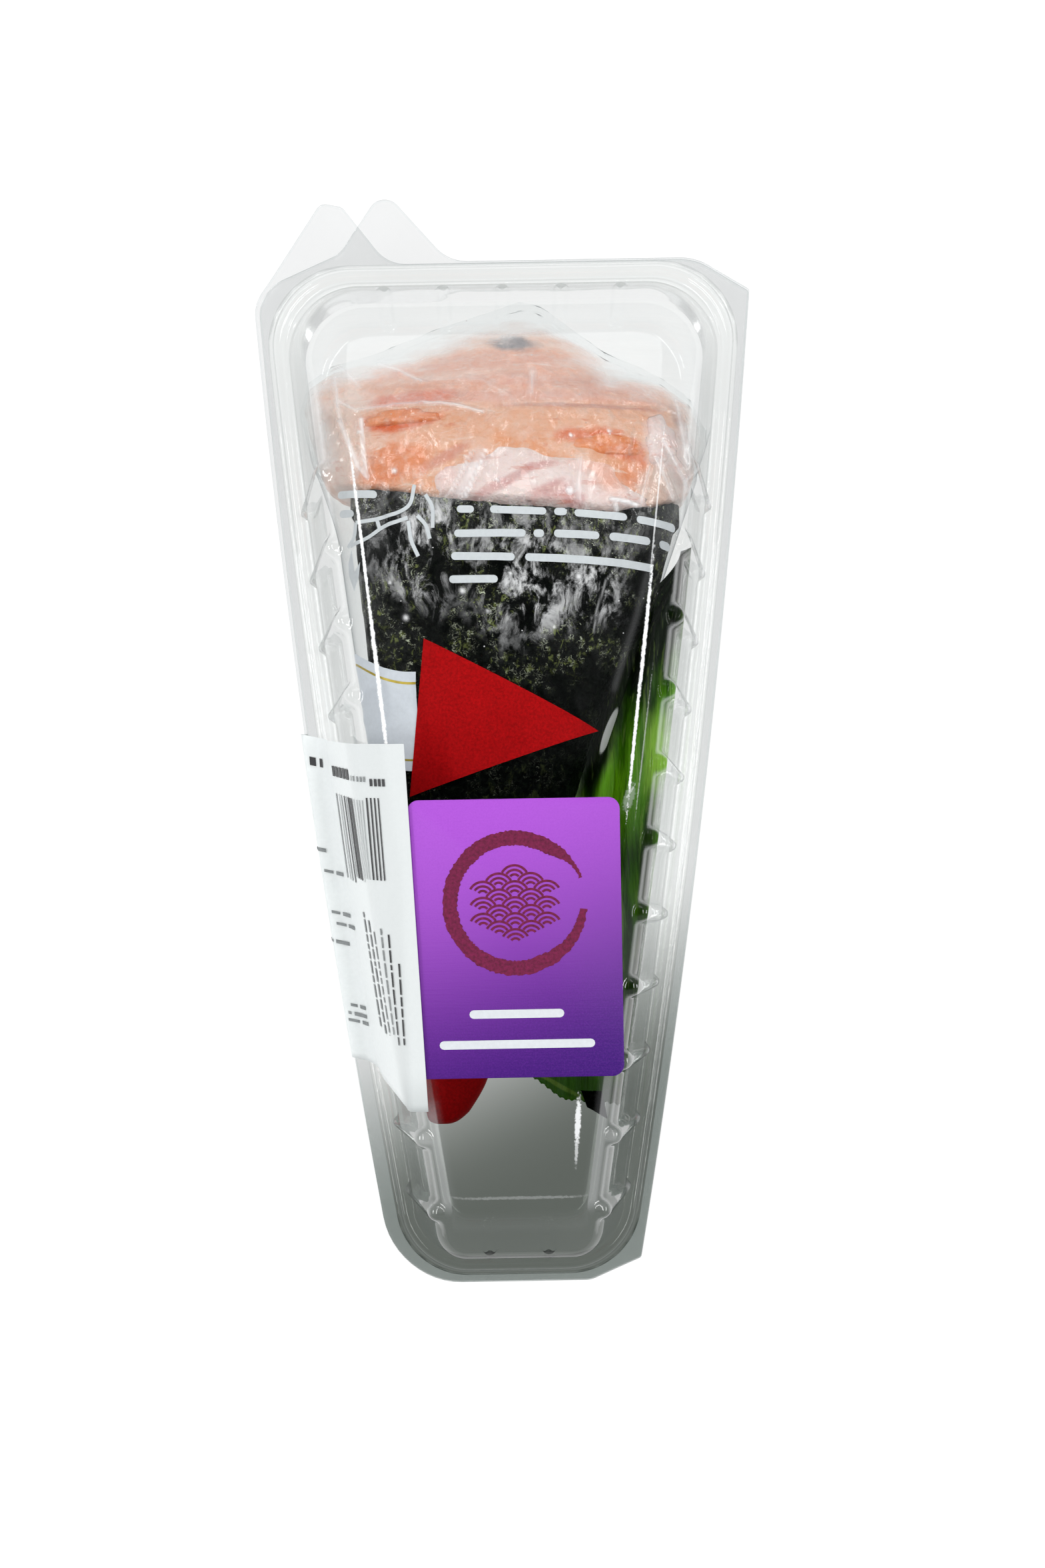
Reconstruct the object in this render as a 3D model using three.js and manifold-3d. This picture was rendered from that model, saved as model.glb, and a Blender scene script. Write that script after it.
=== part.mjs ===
// A temaki hand roll sealed in its retail pack, lying on its back.
//
// The pack is one thermoformed sheet of clear plastic, folded along a straight hinge on the right
// side: a shallow tray below, a deeper lid above, and a pull tab on each flange at the wide end.
// Inside lies a cone of nori filled with salmon and cream cheese, in a sleeve of clear film, with a
// long green leaf beside it. A sticker lies on the lid, and a paper seal goes from the lid over the
// left wall and round the flange's edge.
//
// Millimetres. +X is the hinge side, +Y the wide end, +Z up, with the origin at the middle of the
// tray's flat floor, on its underside.
import * as THREE from "three";
import { mergeVertices } from "three/addons/utils/BufferGeometryUtils.js";
import Module from "manifold-3d";

const wasm = await Module();
wasm.setup();

// ---- driving dimensions of the pack ----
const BEAD_TOP = 105.3; // the snap bead's outline: where its wide and narrow ends are
const BEAD_BOTTOM = -104.3;
const HALF_WIDTH = 35.3; // of the bead's outline at y = 0, if its sides were straight
const TAPER = 0.1295; // how much the half-width grows for each mm of y
const BOW = 2.3; // how far the middle of each long side curves out
const FLANGE_TOP = 107.8;
const FLANGE_BOTTOM = -107.8;
const FLANGE_LEFT = 5.0; // how far each flange stands out past the bead
const FLANGE_HINGE = 3.7;
const HINGE_TOP = 100.8; // the ends of the straight hinge side
const HINGE_BOTTOM = -103.2;
const SHEET = 0.5; // the plastic's thickness
const GAP = 0.3; // between pieces that touch
const TRAY_DEPTH = 12.5;
const LID_HEIGHT = 30;
const SEAM_Z = TRAY_DEPTH; // the plane where the two flanges meet

const SHOULDER_Z = 26.4; // top of the lid's walls, above the seam
const SHOULDER_INSET = 9.0; // in from the bead, at the sides
const PLATEAU_INSET = { side: 14.2, top: 39, bottom: 21 };
const FLOOR_INSET = 8.6;

const FLUTE_COUNT = 11; // stiffening flutes on each long wall of the lid
const FLUTE_PITCH = 14.17;
const FLUTE_FIRST_Y = 54.1;
const FLUTE_RADIUS = 1.9;
const FLUTE_FOOT = { inset: 2.0, z: 1.6 }; // in from the bead and above the seam
const FLUTE_CAP = { inset: 8.5, z: 23.4 };
const END_FLUTE_PITCH = 12.6;

// ---- driving dimensions of the hand roll ----
const NORI_MOUTH = 50; // y where the nori ends and the filling starts to show
const CONE_TIP = -77;
const FILLING_TOP = 98;
const ROLL_HALF_THICKNESS = 16;
const TIP_HALF_THICKNESS = 3.8;
const ROLL_REST = 0.7 + SHEET; // height of the roll's underside
const NORI = 0.55;
const FILM = 0.25;

const smooth = THREE.MathUtils.smoothstep;
const straightWidth = (y) => HALF_WIDTH + TAPER * y;
const bowAt = (y) => BOW * Math.max(0, 1 - (y / BEAD_TOP) ** 2);
const halfWidth = (y) => straightWidth(y) + bowAt(y);

// ---- meshes, solids and the way between them ----

// The triangles between closed rings of equally many points, each ring joined to the next.
function bands(rings) {
  const count = rings[0].length;
  const triangles = [];
  for (let ring = 0; ring + 1 < rings.length; ring++) {
    for (let i = 0; i < count; i++) {
      const a = ring * count + i;
      const b = ring * count + ((i + 1) % count);
      triangles.push(a, b, b + count, a, b + count, a + count);
    }
  }
  return triangles;
}

// Joined rings with a fan over the first and the last.
function loft(rings) {
  const count = rings[0].length;
  const points = rings.flat();
  const triangles = bands(rings);
  for (const [ring, forward] of [[0, false], [rings.length - 1, true]]) {
    const middle = new THREE.Vector3();
    rings[ring].forEach((p) => middle.addScaledVector(p, 1 / count));
    const centre = points.push(middle) - 1;
    for (let i = 0; i < count; i++) {
      const a = ring * count + i;
      const b = ring * count + ((i + 1) % count);
      triangles.push(...(forward ? [a, b, centre] : [b, a, centre]));
    }
  }
  return facingOut(new THREE.BufferGeometry().setFromPoints(points).setIndex(triangles));
}

// Joined rings, each an upper edge and a lower edge back, with an end of quads between the two.
function strip(rings) {
  const count = rings[0].length;
  const triangles = bands(rings);
  for (const [ring, forward] of [[0, false], [rings.length - 1, true]]) {
    for (let i = 0; i + 1 < count / 2; i++) {
      const [a, b] = [ring * count + i, ring * count + i + 1];
      const [c, d] = [ring * count + count - 2 - i, ring * count + count - 1 - i];
      triangles.push(...(forward ? [a, b, c, a, c, d] : [b, a, c, c, a, d]));
    }
  }
  return facingOut(new THREE.BufferGeometry().setFromPoints(rings.flat()).setIndex(triangles));
}

// The same geometry with its faces turned outwards.
function facingOut(geometry) {
  const at = geometry.getAttribute("position");
  const index = geometry.index.array;
  const [a, b, c] = [new THREE.Vector3(), new THREE.Vector3(), new THREE.Vector3()];
  let volume = 0;
  for (let i = 0; i < index.length; i += 3) {
    [a, b, c].forEach((corner, k) => corner.fromBufferAttribute(at, index[i + k]));
    volume += a.dot(b.cross(c));
  }
  if (volume < 0) {
    for (let i = 0; i < index.length; i += 3) {
      [index[i + 1], index[i + 2]] = [index[i + 2], index[i + 1]];
    }
  }
  return geometry;
}

function solidOf(geometry) {
  const bare = geometry.clone();
  bare.deleteAttribute("normal");
  bare.deleteAttribute("uv");
  const merged = mergeVertices(bare, 1e-4);
  return new wasm.Manifold(
    new wasm.Mesh({
      numProp: 3,
      vertProperties: merged.attributes.position.array,
      triVerts: new Uint32Array(merged.index.array),
    }),
  );
}

function geometryOf(solid) {
  const { vertProperties, triVerts } = solid.getMesh();
  const geometry = new THREE.BufferGeometry();
  geometry.setAttribute("position", new THREE.BufferAttribute(vertProperties, 3));
  return geometry.setIndex(new THREE.BufferAttribute(triVerts, 1));
}

const union = (solids) => solids.reduce((whole, solid) => whole.add(solid));

// ---- outlines ----

// A polygon with each corner rounded to its own radius, as points. A corner is [x, y, radius].
function roundedOutline(corners, steps = 5) {
  return corners.flatMap(([x, y, radius], i) => {
    const corner = new THREE.Vector2(x, y);
    const before = new THREE.Vector2(...corners.at(i - 1)).sub(corner).normalize();
    const after = new THREE.Vector2(...corners[(i + 1) % corners.length]).sub(corner).normalize();
    const half = Math.acos(THREE.MathUtils.clamp(before.dot(after), -1, 1)) / 2;
    const centre = before.clone().add(after).normalize().multiplyScalar(radius / Math.sin(half)).add(corner);
    const reach = radius / Math.tan(half);
    const start = before.multiplyScalar(reach).add(corner).sub(centre);
    const end = after.multiplyScalar(reach).add(corner).sub(centre);
    const turn = Math.atan2(start.cross(end), start.dot(end));
    return Array.from({ length: steps + 1 }, (_, step) =>
      start.clone().rotateAround(new THREE.Vector2(), (turn * step) / steps).add(centre),
    );
  });
}

// The outline with its long edges split, then curved out as the pack's sides are.
function bowed(outline, pieces = 6) {
  const points = outline.flatMap((p, i) => {
    const next = outline[(i + 1) % outline.length];
    const count = Math.abs(next.y - p.y) > 100 ? pieces : 1;
    return Array.from({ length: count }, (_, k) => p.clone().lerp(next, k / count));
  });
  return points.map((p) => p.setX(p.x * (1 + bowAt(p.y) / straightWidth(p.y))));
}

// A level ring round the pack, set in from the bead by so much at the sides and at each end.
function packRing({ side, top = side, bottom = side, z, radius = 15 - side * 0.5 }) {
  const high = BEAD_TOP - top;
  const low = BEAD_BOTTOM + bottom;
  const wide = straightWidth(high) - side;
  const narrow = straightWidth(low) - side;
  const corners = [
    [-wide, high, radius],
    [-narrow, low, radius * 0.9],
    [narrow, low, radius * 0.9],
    [wide, high, radius],
  ];
  return bowed(roundedOutline(corners)).map((p) => new THREE.Vector3(p.x, p.y, z));
}

// ---- the clear hinged pack ----

// A station is a ring of the shell's outer face: how far in from the bead it lies, its height from
// the seam, and which way its inner face lies, inward and down, in sheet thicknesses.
function innerRings(stations, direction, depth) {
  return stations.map(({ side, top = side, bottom = side, z, inward, down, radius }) =>
    packRing({
      side: side + inward * depth,
      top: top + inward * depth,
      bottom: bottom + inward * depth,
      z: SEAM_Z + direction * (z - down * depth),
      radius,
    }),
  );
}

// Half a pack as a thin shell: its outer face from the flange to the flat, and its inner face back.
function shell(stations, direction) {
  const outer = stations.map((s) => packRing({ ...s, z: SEAM_Z + direction * s.z }));
  return solidOf(loft([...innerRings(stations, direction, SHEET).reverse(), ...outer]));
}

const SEAM = GAP / 2; // each flange lies this far from the seam
const BEAD_HEIGHT = 1.9; // above the seam
const flangeStation = { side: -2.0, z: SEAM + SHEET, inward: 0, down: 1 };

const lidStations = [
  flangeStation,
  { side: -1.2, z: SEAM + SHEET, inward: 0, down: 1 },
  { side: -0.5, z: BEAD_HEIGHT, inward: 0.2, down: 1 },
  { side: 0.5, z: BEAD_HEIGHT, inward: 0, down: 1 },
  { side: 1.5, z: SEAM + SHEET, inward: 0, down: 1 },
  { side: 2.0, top: 2.8, z: SEAM + SHEET, inward: 0.7, down: 1 },
  { side: 3.4, top: 4.6, bottom: 3.2, z: 5.6, inward: 1, down: 0.2 },
  { side: 7.9, top: 17, bottom: 8.0, z: 23.6, inward: 1, down: 0.4 },
  { side: SHOULDER_INSET, top: 23, bottom: 9.6, z: SHOULDER_Z, inward: 0.7, down: 0.8 },
  { ...PLATEAU_INSET, z: LID_HEIGHT, inward: 0, down: 1, radius: 2 },
];

const trayStations = [
  flangeStation,
  { side: 2.7, z: SEAM + SHEET, inward: 0.7, down: 1 },
  { side: 3.3, z: 3, inward: 1, down: 0.2 },
  { side: 5.6, z: 10.2, inward: 1, down: 0.3 },
  { side: 6.6, z: 11.9, inward: 0.7, down: 0.8 },
  { side: FLOOR_INSET, z: TRAY_DEPTH, inward: 0, down: 1 },
];

// A flange: the flat sheet round the bead, with a pull tab at the wide end's left corner.
function flange(tab, z) {
  const left = (y) => -straightWidth(y) - FLANGE_LEFT;
  const right = (y) => straightWidth(y) + FLANGE_HINGE;
  const outline = roundedOutline([
    [left(FLANGE_BOTTOM), FLANGE_BOTTOM, 16],
    [right(FLANGE_BOTTOM) - 10, FLANGE_BOTTOM, 6],
    [right(HINGE_BOTTOM), HINGE_BOTTOM, 0.4],
    [right(HINGE_TOP), HINGE_TOP, 0.4],
    [right(FLANGE_TOP) - 12, FLANGE_TOP, 12],
    ...tab,
  ]);
  const shape = new THREE.Shape(bowed(outline));
  const hole = packRing({ side: -1.6, z: 0 }).map((p) => new THREE.Vector2(p.x, p.y));
  shape.holes.push(new THREE.Path(hole));
  const plate = new THREE.ExtrudeGeometry(shape, { depth: SHEET, bevelEnabled: false });
  return solidOf(plate.translate(0, 0, z));
}

const lidTab = [
  [-11.2, FLANGE_TOP, 9],
  [-24.9, 123.4, 3.6],
  [-34.2, 109.8, 6],
  [-51.6, 102.2, 8],
];
const trayTab = [
  [-24.2, FLANGE_TOP, 8],
  [-33.6, 120.1, 2.2],
  [-38.2, 121.0, 2.2],
  [-52.4, 99.8, 8],
];

// The fold that joins the two flanges, along the hinge side's straight edge.
function hinge() {
  const low = HINGE_BOTTOM + 0.8;
  const high = HINGE_TOP - 1;
  const at = (y, out) => new THREE.Vector2(straightWidth(y) + FLANGE_HINGE + out, y);
  const strip = new THREE.Shape(bowed([at(low, -0.6), at(low, 0.25), at(high, 0.25), at(high, -0.6)]));
  const height = 2 * (SEAM + SHEET);
  const fold = new THREE.ExtrudeGeometry(strip, { depth: height, bevelEnabled: false });
  return solidOf(fold.translate(0, 0, SEAM_Z - height / 2));
}

// A flute: half a cone that lies along a wall and grows towards its rounded cap.
function flute(foot, cap, radius) {
  const axis = cap.clone().sub(foot);
  const length = axis.length();
  const profile = [
    new THREE.Vector2(0, 0),
    new THREE.Vector2(radius * 0.35, 0.4),
    new THREE.Vector2(radius, length - radius * 0.5),
    new THREE.Vector2(radius * 0.6, length + radius * 0.25),
    new THREE.Vector2(0, length + radius * 0.4),
  ];
  const cone = new THREE.LatheGeometry(profile, 8);
  const turn = new THREE.Quaternion().setFromUnitVectors(new THREE.Vector3(0, 1, 0), axis.normalize());
  return solidOf(cone.applyQuaternion(turn).translate(foot.x, foot.y, foot.z));
}

// The hollow inside half the pack, out to the middle of the sheet, which is cut from the flutes.
function hollow(stations, direction) {
  return solidOf(loft(innerRings(stations.slice(-5), direction, SHEET / 2)));
}

function lidFlutes() {
  const across = Math.hypot(1, TAPER);
  const flutes = [];
  for (const side of [-1, 1]) {
    for (let i = 0; i < FLUTE_COUNT; i++) {
      const y = FLUTE_FIRST_Y - i * FLUTE_PITCH;
      const point = (inset, z) => {
        const x = side * (halfWidth(y) - inset / across);
        return new THREE.Vector3(x, y + (TAPER * inset) / across, SEAM_Z + z);
      };
      const foot = point(FLUTE_FOOT.inset, FLUTE_FOOT.z);
      const cap = point(FLUTE_CAP.inset, FLUTE_CAP.z);
      flutes.push(flute(foot, cap, FLUTE_RADIUS));
    }
  }
  for (const x of [-0.5 * END_FLUTE_PITCH, 0.5 * END_FLUTE_PITCH]) {
    const foot = new THREE.Vector3(x, BEAD_BOTTOM + FLUTE_FOOT.inset, SEAM_Z + FLUTE_FOOT.z);
    const cap = new THREE.Vector3(x, BEAD_BOTTOM + FLUTE_CAP.inset, SEAM_Z + FLUTE_CAP.z);
    flutes.push(flute(foot, cap, FLUTE_RADIUS));
  }
  return flutes;
}

function trayFlutes() {
  const flutes = [];
  for (const [end, inwards, from, to] of [[BEAD_TOP, -1, -2, 2], [BEAD_BOTTOM, 1, -0.5, 0.5]]) {
    for (let i = from; i <= to; i++) {
      const x = i * END_FLUTE_PITCH;
      const foot = new THREE.Vector3(x, end + inwards * 5.7, SEAM_Z - 10.4);
      const cap = new THREE.Vector3(x, end + inwards * 3.3, SEAM_Z - 2.6);
      flutes.push(flute(foot, cap, FLUTE_RADIUS * 0.8));
    }
  }
  return flutes;
}

function clamshell() {
  const lidSide = union(lidFlutes()).subtract(hollow(lidStations, 1));
  const traySide = union(trayFlutes()).subtract(hollow(trayStations, -1));
  const lid = union([shell(lidStations, 1), lidSide, flange(lidTab, SEAM_Z + SEAM)]);
  const tray = union([shell(trayStations, -1), traySide, flange(trayTab, SEAM_Z - SEAM - SHEET)]);
  return geometryOf(union([lid, tray, hinge()]));
}

// ---- the hand roll ----

// The roll's section at y: its middle and its half-width and half-thickness. Its left edge runs
// along the pack's left wall, and its right edge runs slantwise from the mouth to the tip.
function rollSection(y) {
  const swell = 3.4 * smooth(y, 45, 68);
  const left = -(halfWidth(y) - 8.9 + swell);
  const right = Math.min(18.2 + 0.356 * y, halfWidth(y) - 5.4);
  const share = THREE.MathUtils.clamp((y + 66) / 111, 0, 1);
  const thick = THREE.MathUtils.lerp(TIP_HALF_THICKNESS, ROLL_HALF_THICKNESS, share);
  const tip = Math.sqrt(1 - THREE.MathUtils.clamp((-66 - y) / 11.2, 0, 1) ** 2);
  const closing = (from) =>
    (1 - THREE.MathUtils.clamp((y - from) / (FILLING_TOP + 0.6 - from), 0, 1) ** 1.8) ** 0.8;
  return {
    x: (left + right) / 2,
    z: ROLL_REST + thick,
    a: ((right - left) / 2) * tip * closing(78),
    b: thick * tip * closing(66),
  };
}

const ROUNDNESS = 2.3; // the exponent of the section's superellipse

function rollRing(y, offset, lumps = 0) {
  const { x, z, a, b } = rollSection(y);
  const ring = [];
  for (let i = 0; i < 28; i++) {
    const angle = (i / 28) * 2 * Math.PI;
    const [c, s] = [Math.cos(angle), Math.sin(angle)];
    const lump = lumps * (Math.sin(5 * angle + 0.31 * y) + Math.sin(3 * angle - 0.23 * y));
    const across = Math.max(a + offset + lump, 0.3);
    const up = Math.max(b + offset + lump, 0.3);
    ring.push(
      new THREE.Vector3(
        x + across * Math.sign(c) * Math.abs(c) ** (2 / ROUNDNESS),
        y,
        z + up * Math.sign(s) * Math.abs(s) ** (2 / ROUNDNESS),
      ),
    );
  }
  return ring;
}

const tipStations = [CONE_TIP, -76, -73.5, -70, -66];
const coneStations = [...tipStations, -45, -20, 5, 28, NORI_MOUTH - 4];
const domeStations = [57, 63, 69, 75, 80, 84, 88, 91.5, 94.5, 97];

// The nori: a cone with a closed tip and an open, slightly wavy mouth.
function noriCone() {
  const mouth = (offset) =>
    rollRing(NORI_MOUTH, offset).map((p, i) => p.setY(p.y + 1.1 * Math.sin((i * 6 * Math.PI) / 28)));
  const outer = [...coneStations.map((y) => rollRing(y, 0)), mouth(0)];
  const inner = [...coneStations.slice(1).map((y) => rollRing(y, -NORI)), mouth(-NORI)];
  return loft([...inner, ...outer.reverse()]);
}

// All that the nori holds: narrow inside the cone, full and lumpy where it shows.
function fillingMass() {
  const inside = -NORI - GAP;
  const hidden = coneStations.slice(3).map((y) => rollRing(y, inside));
  const shown = domeStations.map((y) => rollRing(y, -0.6, 0.25));
  return solidOf(loft([...hidden, rollRing(NORI_MOUTH + 1.6, inside), ...shown]));
}

// The pieces that show in the salmon's face, each where an ellipsoid meets the filling.
const fillingPieces = [
  { name: "cream_cheese", at: [4.7, 38, 33.5], radii: [20, 26, 9], colour: 0xebcfcd },
  { name: "cream_cheese_side", at: [32, 65, 27.5], radii: [6, 8.5, 8], colour: 0xeadbd8 },
  { name: "salmon_strip_left", at: [-24, 67, 32.8], radii: [6.5, 3.2, 5], colour: 0xd98a5a },
  { name: "salmon_strip_right", at: [19.5, 66.5, 33.8], radii: [8, 3.4, 4], colour: 0xd97a48 },
];

function ellipsoid({ at, radii }, spare = 0) {
  const [rx, ry, rz] = radii.map((r) => r + spare);
  return solidOf(new THREE.SphereGeometry(1, 18, 10).scale(rx, ry, rz).translate(...at));
}

// The film sleeve: it follows the roll, and its folded end stays open by a slit at the wide end.
function wrapper() {
  const stations = [...coneStations.slice(1), 54, ...domeStations.slice(1)];
  const outer = [CONE_TIP - GAP - FILM, ...stations].map((y) => rollRing(y, GAP + FILM));
  const inner = [CONE_TIP - GAP, ...stations].map((y) => rollRing(y, GAP));
  return loft([...inner, ...outer.reverse()]);
}

// ---- the leaf beside the roll ----

const LEAF_TOP = 46;
const LEAF_BOTTOM = -70;
const LEAF_THICKNESS = 0.5;

// A point of the leaf: across from 0 at the roll to 1 at the wall, along from 0 at its tip to 1.
function leafPoint(across, along) {
  const tooth = along === 1 ? 1.3 * Math.abs(((across * 6) % 1) - 0.5) - 3 * across : 0;
  const y = THREE.MathUtils.lerp(LEAF_TOP, LEAF_BOTTOM, along) + tooth;
  const roll = rollSection(y);
  const wide = smooth(along, 0, 0.3);
  const right = halfWidth(y) - 4.4 - 2.0 * along;
  const left = THREE.MathUtils.lerp(right - 1.8, roll.x + 0.74 * roll.a + 1.6, wide);
  const low = THREE.MathUtils.lerp(12, 1.8 + SHEET, wide);
  const high = THREE.MathUtils.lerp(15, 12.6, along);
  const wave = 0.35 * Math.sin(along * 19 + across * 5) + 0.3 * Math.cos(across * 6 * Math.PI);
  return new THREE.Vector3(
    THREE.MathUtils.lerp(left, right, across),
    y,
    THREE.MathUtils.lerp(low, high, across ** 1.25) + wave * wide,
  );
}

function leaf(columns = 12, rows = 22) {
  const rings = [];
  for (let row = 0; row <= rows; row++) {
    const edge = Array.from({ length: columns + 1 }, (_, i) => leafPoint(i / columns, row / rows));
    const under = edge.map((p) => p.clone().setZ(p.z - LEAF_THICKNESS)).reverse();
    rings.push([...edge, ...under]);
  }
  return strip(rings);
}

// The trimmed end of the nori that sticks out past the leaf.
function noriScrap() {
  const corners = [[-3, -2.4, 0.4], [2.6, -3, 0.4], [3, 1.6, 0.5], [-2.2, 2.4, 0.6]];
  const outline = new THREE.Shape(roundedOutline(corners, 2));
  const plate = new THREE.ExtrudeGeometry(outline, { depth: NORI, bevelEnabled: false });
  return plate.rotateY(-0.5).rotateZ(-0.5).translate(15.6, -74.6, 11.2);
}

// ---- the sticker and the paper seal ----

const PAPER = 0.25;
const STICKER = { width: 40, height: 52.4, radius: 2.2, x: 0.1, y: -34.2 };
const PLATEAU_Z = SEAM_Z + LID_HEIGHT;

function sticker() {
  const [w, h, r] = [STICKER.width / 2, STICKER.height / 2, STICKER.radius];
  const outline = roundedOutline([[-w, -h, r], [w, -h, r], [w, h, r], [-w, h, r]]);
  const plate = new THREE.ExtrudeGeometry(new THREE.Shape(outline), { depth: PAPER, bevelEnabled: false });
  return plate.translate(STICKER.x, STICKER.y, PLATEAU_Z + GAP);
}

const SEAL_TOP = 2.6; // y of its upper edge on the lid, and how long it is
const SEAL_LENGTH = 69;
const SEAL_SLANT = 0.105; // how much higher its edges lie for each mm out from the lid

// The seal's section at y: from the lid, over the shoulder, down the wall, and round the flange.
function sealPath(y, out) {
  const wide = halfWidth(y);
  const above = SEAM + SHEET + GAP + out;
  const start = -20.2 + 0.049 * (SEAL_TOP - y);
  const onSticker = LID_HEIGHT + 2 * GAP + PAPER + out;
  const overEdge = STICKER.x - STICKER.width / 2 - 0.4 - out;
  return [
    [start, onSticker],
    [Math.min(-(wide - PLATEAU_INSET.side), overEdge), onSticker],
    [Math.min(-(wide - SHOULDER_INSET + 1.9 + out), overEdge - 0.4), SHOULDER_Z + 0.4 + out],
    [-(wide - 5.2 + 1.9 + out), 14],
    [-(wide + 0.2 + out), BEAD_HEIGHT + GAP + out],
    [-(wide + 2.2), above],
    [-(wide + FLANGE_LEFT + 0.2 + out), above],
    [-(wide + FLANGE_LEFT + 0.4 + out), 0],
    [-(wide + FLANGE_LEFT + 0.2 + out), -above],
    [-(wide + 0.8), -above],
  ].map(([x, z]) => new THREE.Vector3(x, y, SEAM_Z + z));
}

function seal(rows = 6) {
  const rings = [];
  for (let row = 0; row <= rows; row++) {
    const y = SEAL_TOP - (SEAL_LENGTH * row) / rows;
    const slanted = (p) => p.setY(p.y + SEAL_SLANT * Math.min(-20 - p.x, 18) * 0.5);
    const outer = sealPath(y, PAPER).map(slanted);
    const inner = sealPath(y, 0).map(slanted).reverse();
    rings.push([...outer, ...inner]);
  }
  return strip(rings);
}

// ---- the whole ----

const finish = {
  clear: { color: 0xe4e8e8, roughness: 0.08, metalness: 0, transparent: true, opacity: 0.3 },
  film: { color: 0xeef0f0, roughness: 0.1, metalness: 0, transparent: true, opacity: 0.3 },
  nori: { color: 0x1d2620, roughness: 0.45, metalness: 0 },
  salmon: { color: 0xe6a182, roughness: 0.4, metalness: 0 },
  leaf: { color: 0x3f7a22, roughness: 0.4, metalness: 0 },
  sticker: { color: 0x7a36b4, roughness: 0.4, metalness: 0.1 },
  paper: { color: 0xe2e6e4, roughness: 0.6, metalness: 0 },
};

function named(name, geometry, look) {
  const mesh = new THREE.Mesh(geometry, new THREE.MeshStandardMaterial(look));
  mesh.name = name;
  return mesh;
}

function filling() {
  const group = new THREE.Group();
  let salmon = fillingMass();
  for (const piece of fillingPieces) {
    const look = { ...finish.salmon, color: piece.colour };
    group.add(named(piece.name, geometryOf(salmon.intersect(ellipsoid(piece))), look));
    salmon = salmon.subtract(ellipsoid(piece, GAP));
  }
  group.add(named("salmon", geometryOf(salmon), finish.salmon));
  return group;
}

const pack = new THREE.Group();
pack.add(named("clamshell", clamshell(), finish.clear));
pack.add(named("lid_sticker", sticker(), finish.sticker));
pack.add(named("seal_label", seal(), finish.paper));
pack.add(named("wrapper", wrapper(), finish.film));
pack.add(named("nori_cone", noriCone(), finish.nori));
pack.add(named("nori_scrap", noriScrap(), finish.nori));
pack.add(named("leaf", leaf(), finish.leaf));
pack.add(filling());

export default pack;
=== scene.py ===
"""A temaki hand roll in its shut retail pack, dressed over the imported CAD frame.

Lengths in the helpers are millimetres in the frame's own axes; meshes are made in metres.
"""

import math
import random

import bmesh
import bpy
import numpy as np
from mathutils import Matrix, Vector, noise


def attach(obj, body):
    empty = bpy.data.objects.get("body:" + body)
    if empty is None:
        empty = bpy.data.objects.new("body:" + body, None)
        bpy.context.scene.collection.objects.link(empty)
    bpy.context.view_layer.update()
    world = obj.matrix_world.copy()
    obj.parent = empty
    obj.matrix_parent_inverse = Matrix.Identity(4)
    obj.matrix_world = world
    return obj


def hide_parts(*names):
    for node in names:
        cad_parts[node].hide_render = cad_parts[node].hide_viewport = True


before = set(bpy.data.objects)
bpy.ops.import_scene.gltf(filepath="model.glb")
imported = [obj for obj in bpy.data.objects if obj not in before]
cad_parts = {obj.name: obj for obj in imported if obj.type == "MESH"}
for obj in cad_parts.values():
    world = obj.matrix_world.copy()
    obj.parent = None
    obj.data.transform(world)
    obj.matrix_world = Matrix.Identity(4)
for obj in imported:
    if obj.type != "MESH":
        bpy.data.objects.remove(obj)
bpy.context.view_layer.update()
random.seed(7)
MM = 0.001
scene = bpy.context.scene

# ---- the pack's dimensions, as in the frame ----
BEAD_TOP = 105.3
BEAD_BOTTOM = -104.3
MID_HALF_WIDTH = 35.3
TAPER = 0.1295
SIDE_BOW = 2.3
SEAM_Z = 12.5
LID_FLAT = 30.0  # the lid's flat above the seam
FLANGE_TOP = 107.8
FLANGE_BOTTOM = -107.8
FLANGE_LEFT = 5.0
FLANGE_HINGE = 3.7
FLANGE_THICKNESS = 0.35
FLUTES_A_SIDE = 11
FLUTE_PITCH = 14.17
FLUTE_FIRST_Y = 54.1
END_FLUTE_PITCH = 12.6

# ---- the roll's dimensions, as in the frame ----
THIN, THICK = 3.8, 16.0  # half its thickness at the tip and at the mouth
NORI_MOUTH = 50.0
FILLING_TOP = 98.0
ROUNDNESS = 2.3  # the exponent of its section, which is 2 for an ellipse
FILM_GAP = 0.45
FILM_BEYOND = 1.0  # how far the film reaches past the filling's wide end
CREASE_RISE = 0.8
PRINT_LIFT = 0.16


def smooth(value, low, high):
    """0 at low and 1 at high, with a soft step between them."""
    t = np.clip((value - low) / (high - low), 0, 1)
    return t * t * (3 - 2 * t)


def between(value, low, rise, fall, high):
    """1 from rise to fall, with soft steps down to 0 at low and high."""
    return smooth(value, low, rise) * (1 - smooth(value, fall, high))


def spaced(*runs):
    """Numbers in even runs, each (first, last, count)."""
    return np.concatenate([np.linspace(*run) for run in runs])


def stacked(*parts):
    """Points from their coordinates, each an array of the same shape."""
    return np.stack(parts, -1)


def straight_width(y):
    return MID_HALF_WIDTH + TAPER * y


def bow(y):
    return SIDE_BOW * np.maximum(0, 1 - (y / BEAD_TOP) ** 2)


def half_width(y):
    return straight_width(y) + bow(y)


def wave(points, size, seed=0.0, octaves=3, rough=0.5):
    """Fractal noise, about -1 to 1, at each point; its bumps are about size mm across."""
    flat = points.reshape(-1, 3) / size
    shift = Vector((seed * 17.3, seed * -9.1, seed * 5.7))
    out = [noise.fractal(Vector(p) + shift, rough, 2.0, octaves) for p in flat]
    return np.array(out).reshape(points.shape[:-1])


# ---- meshes ----


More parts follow.
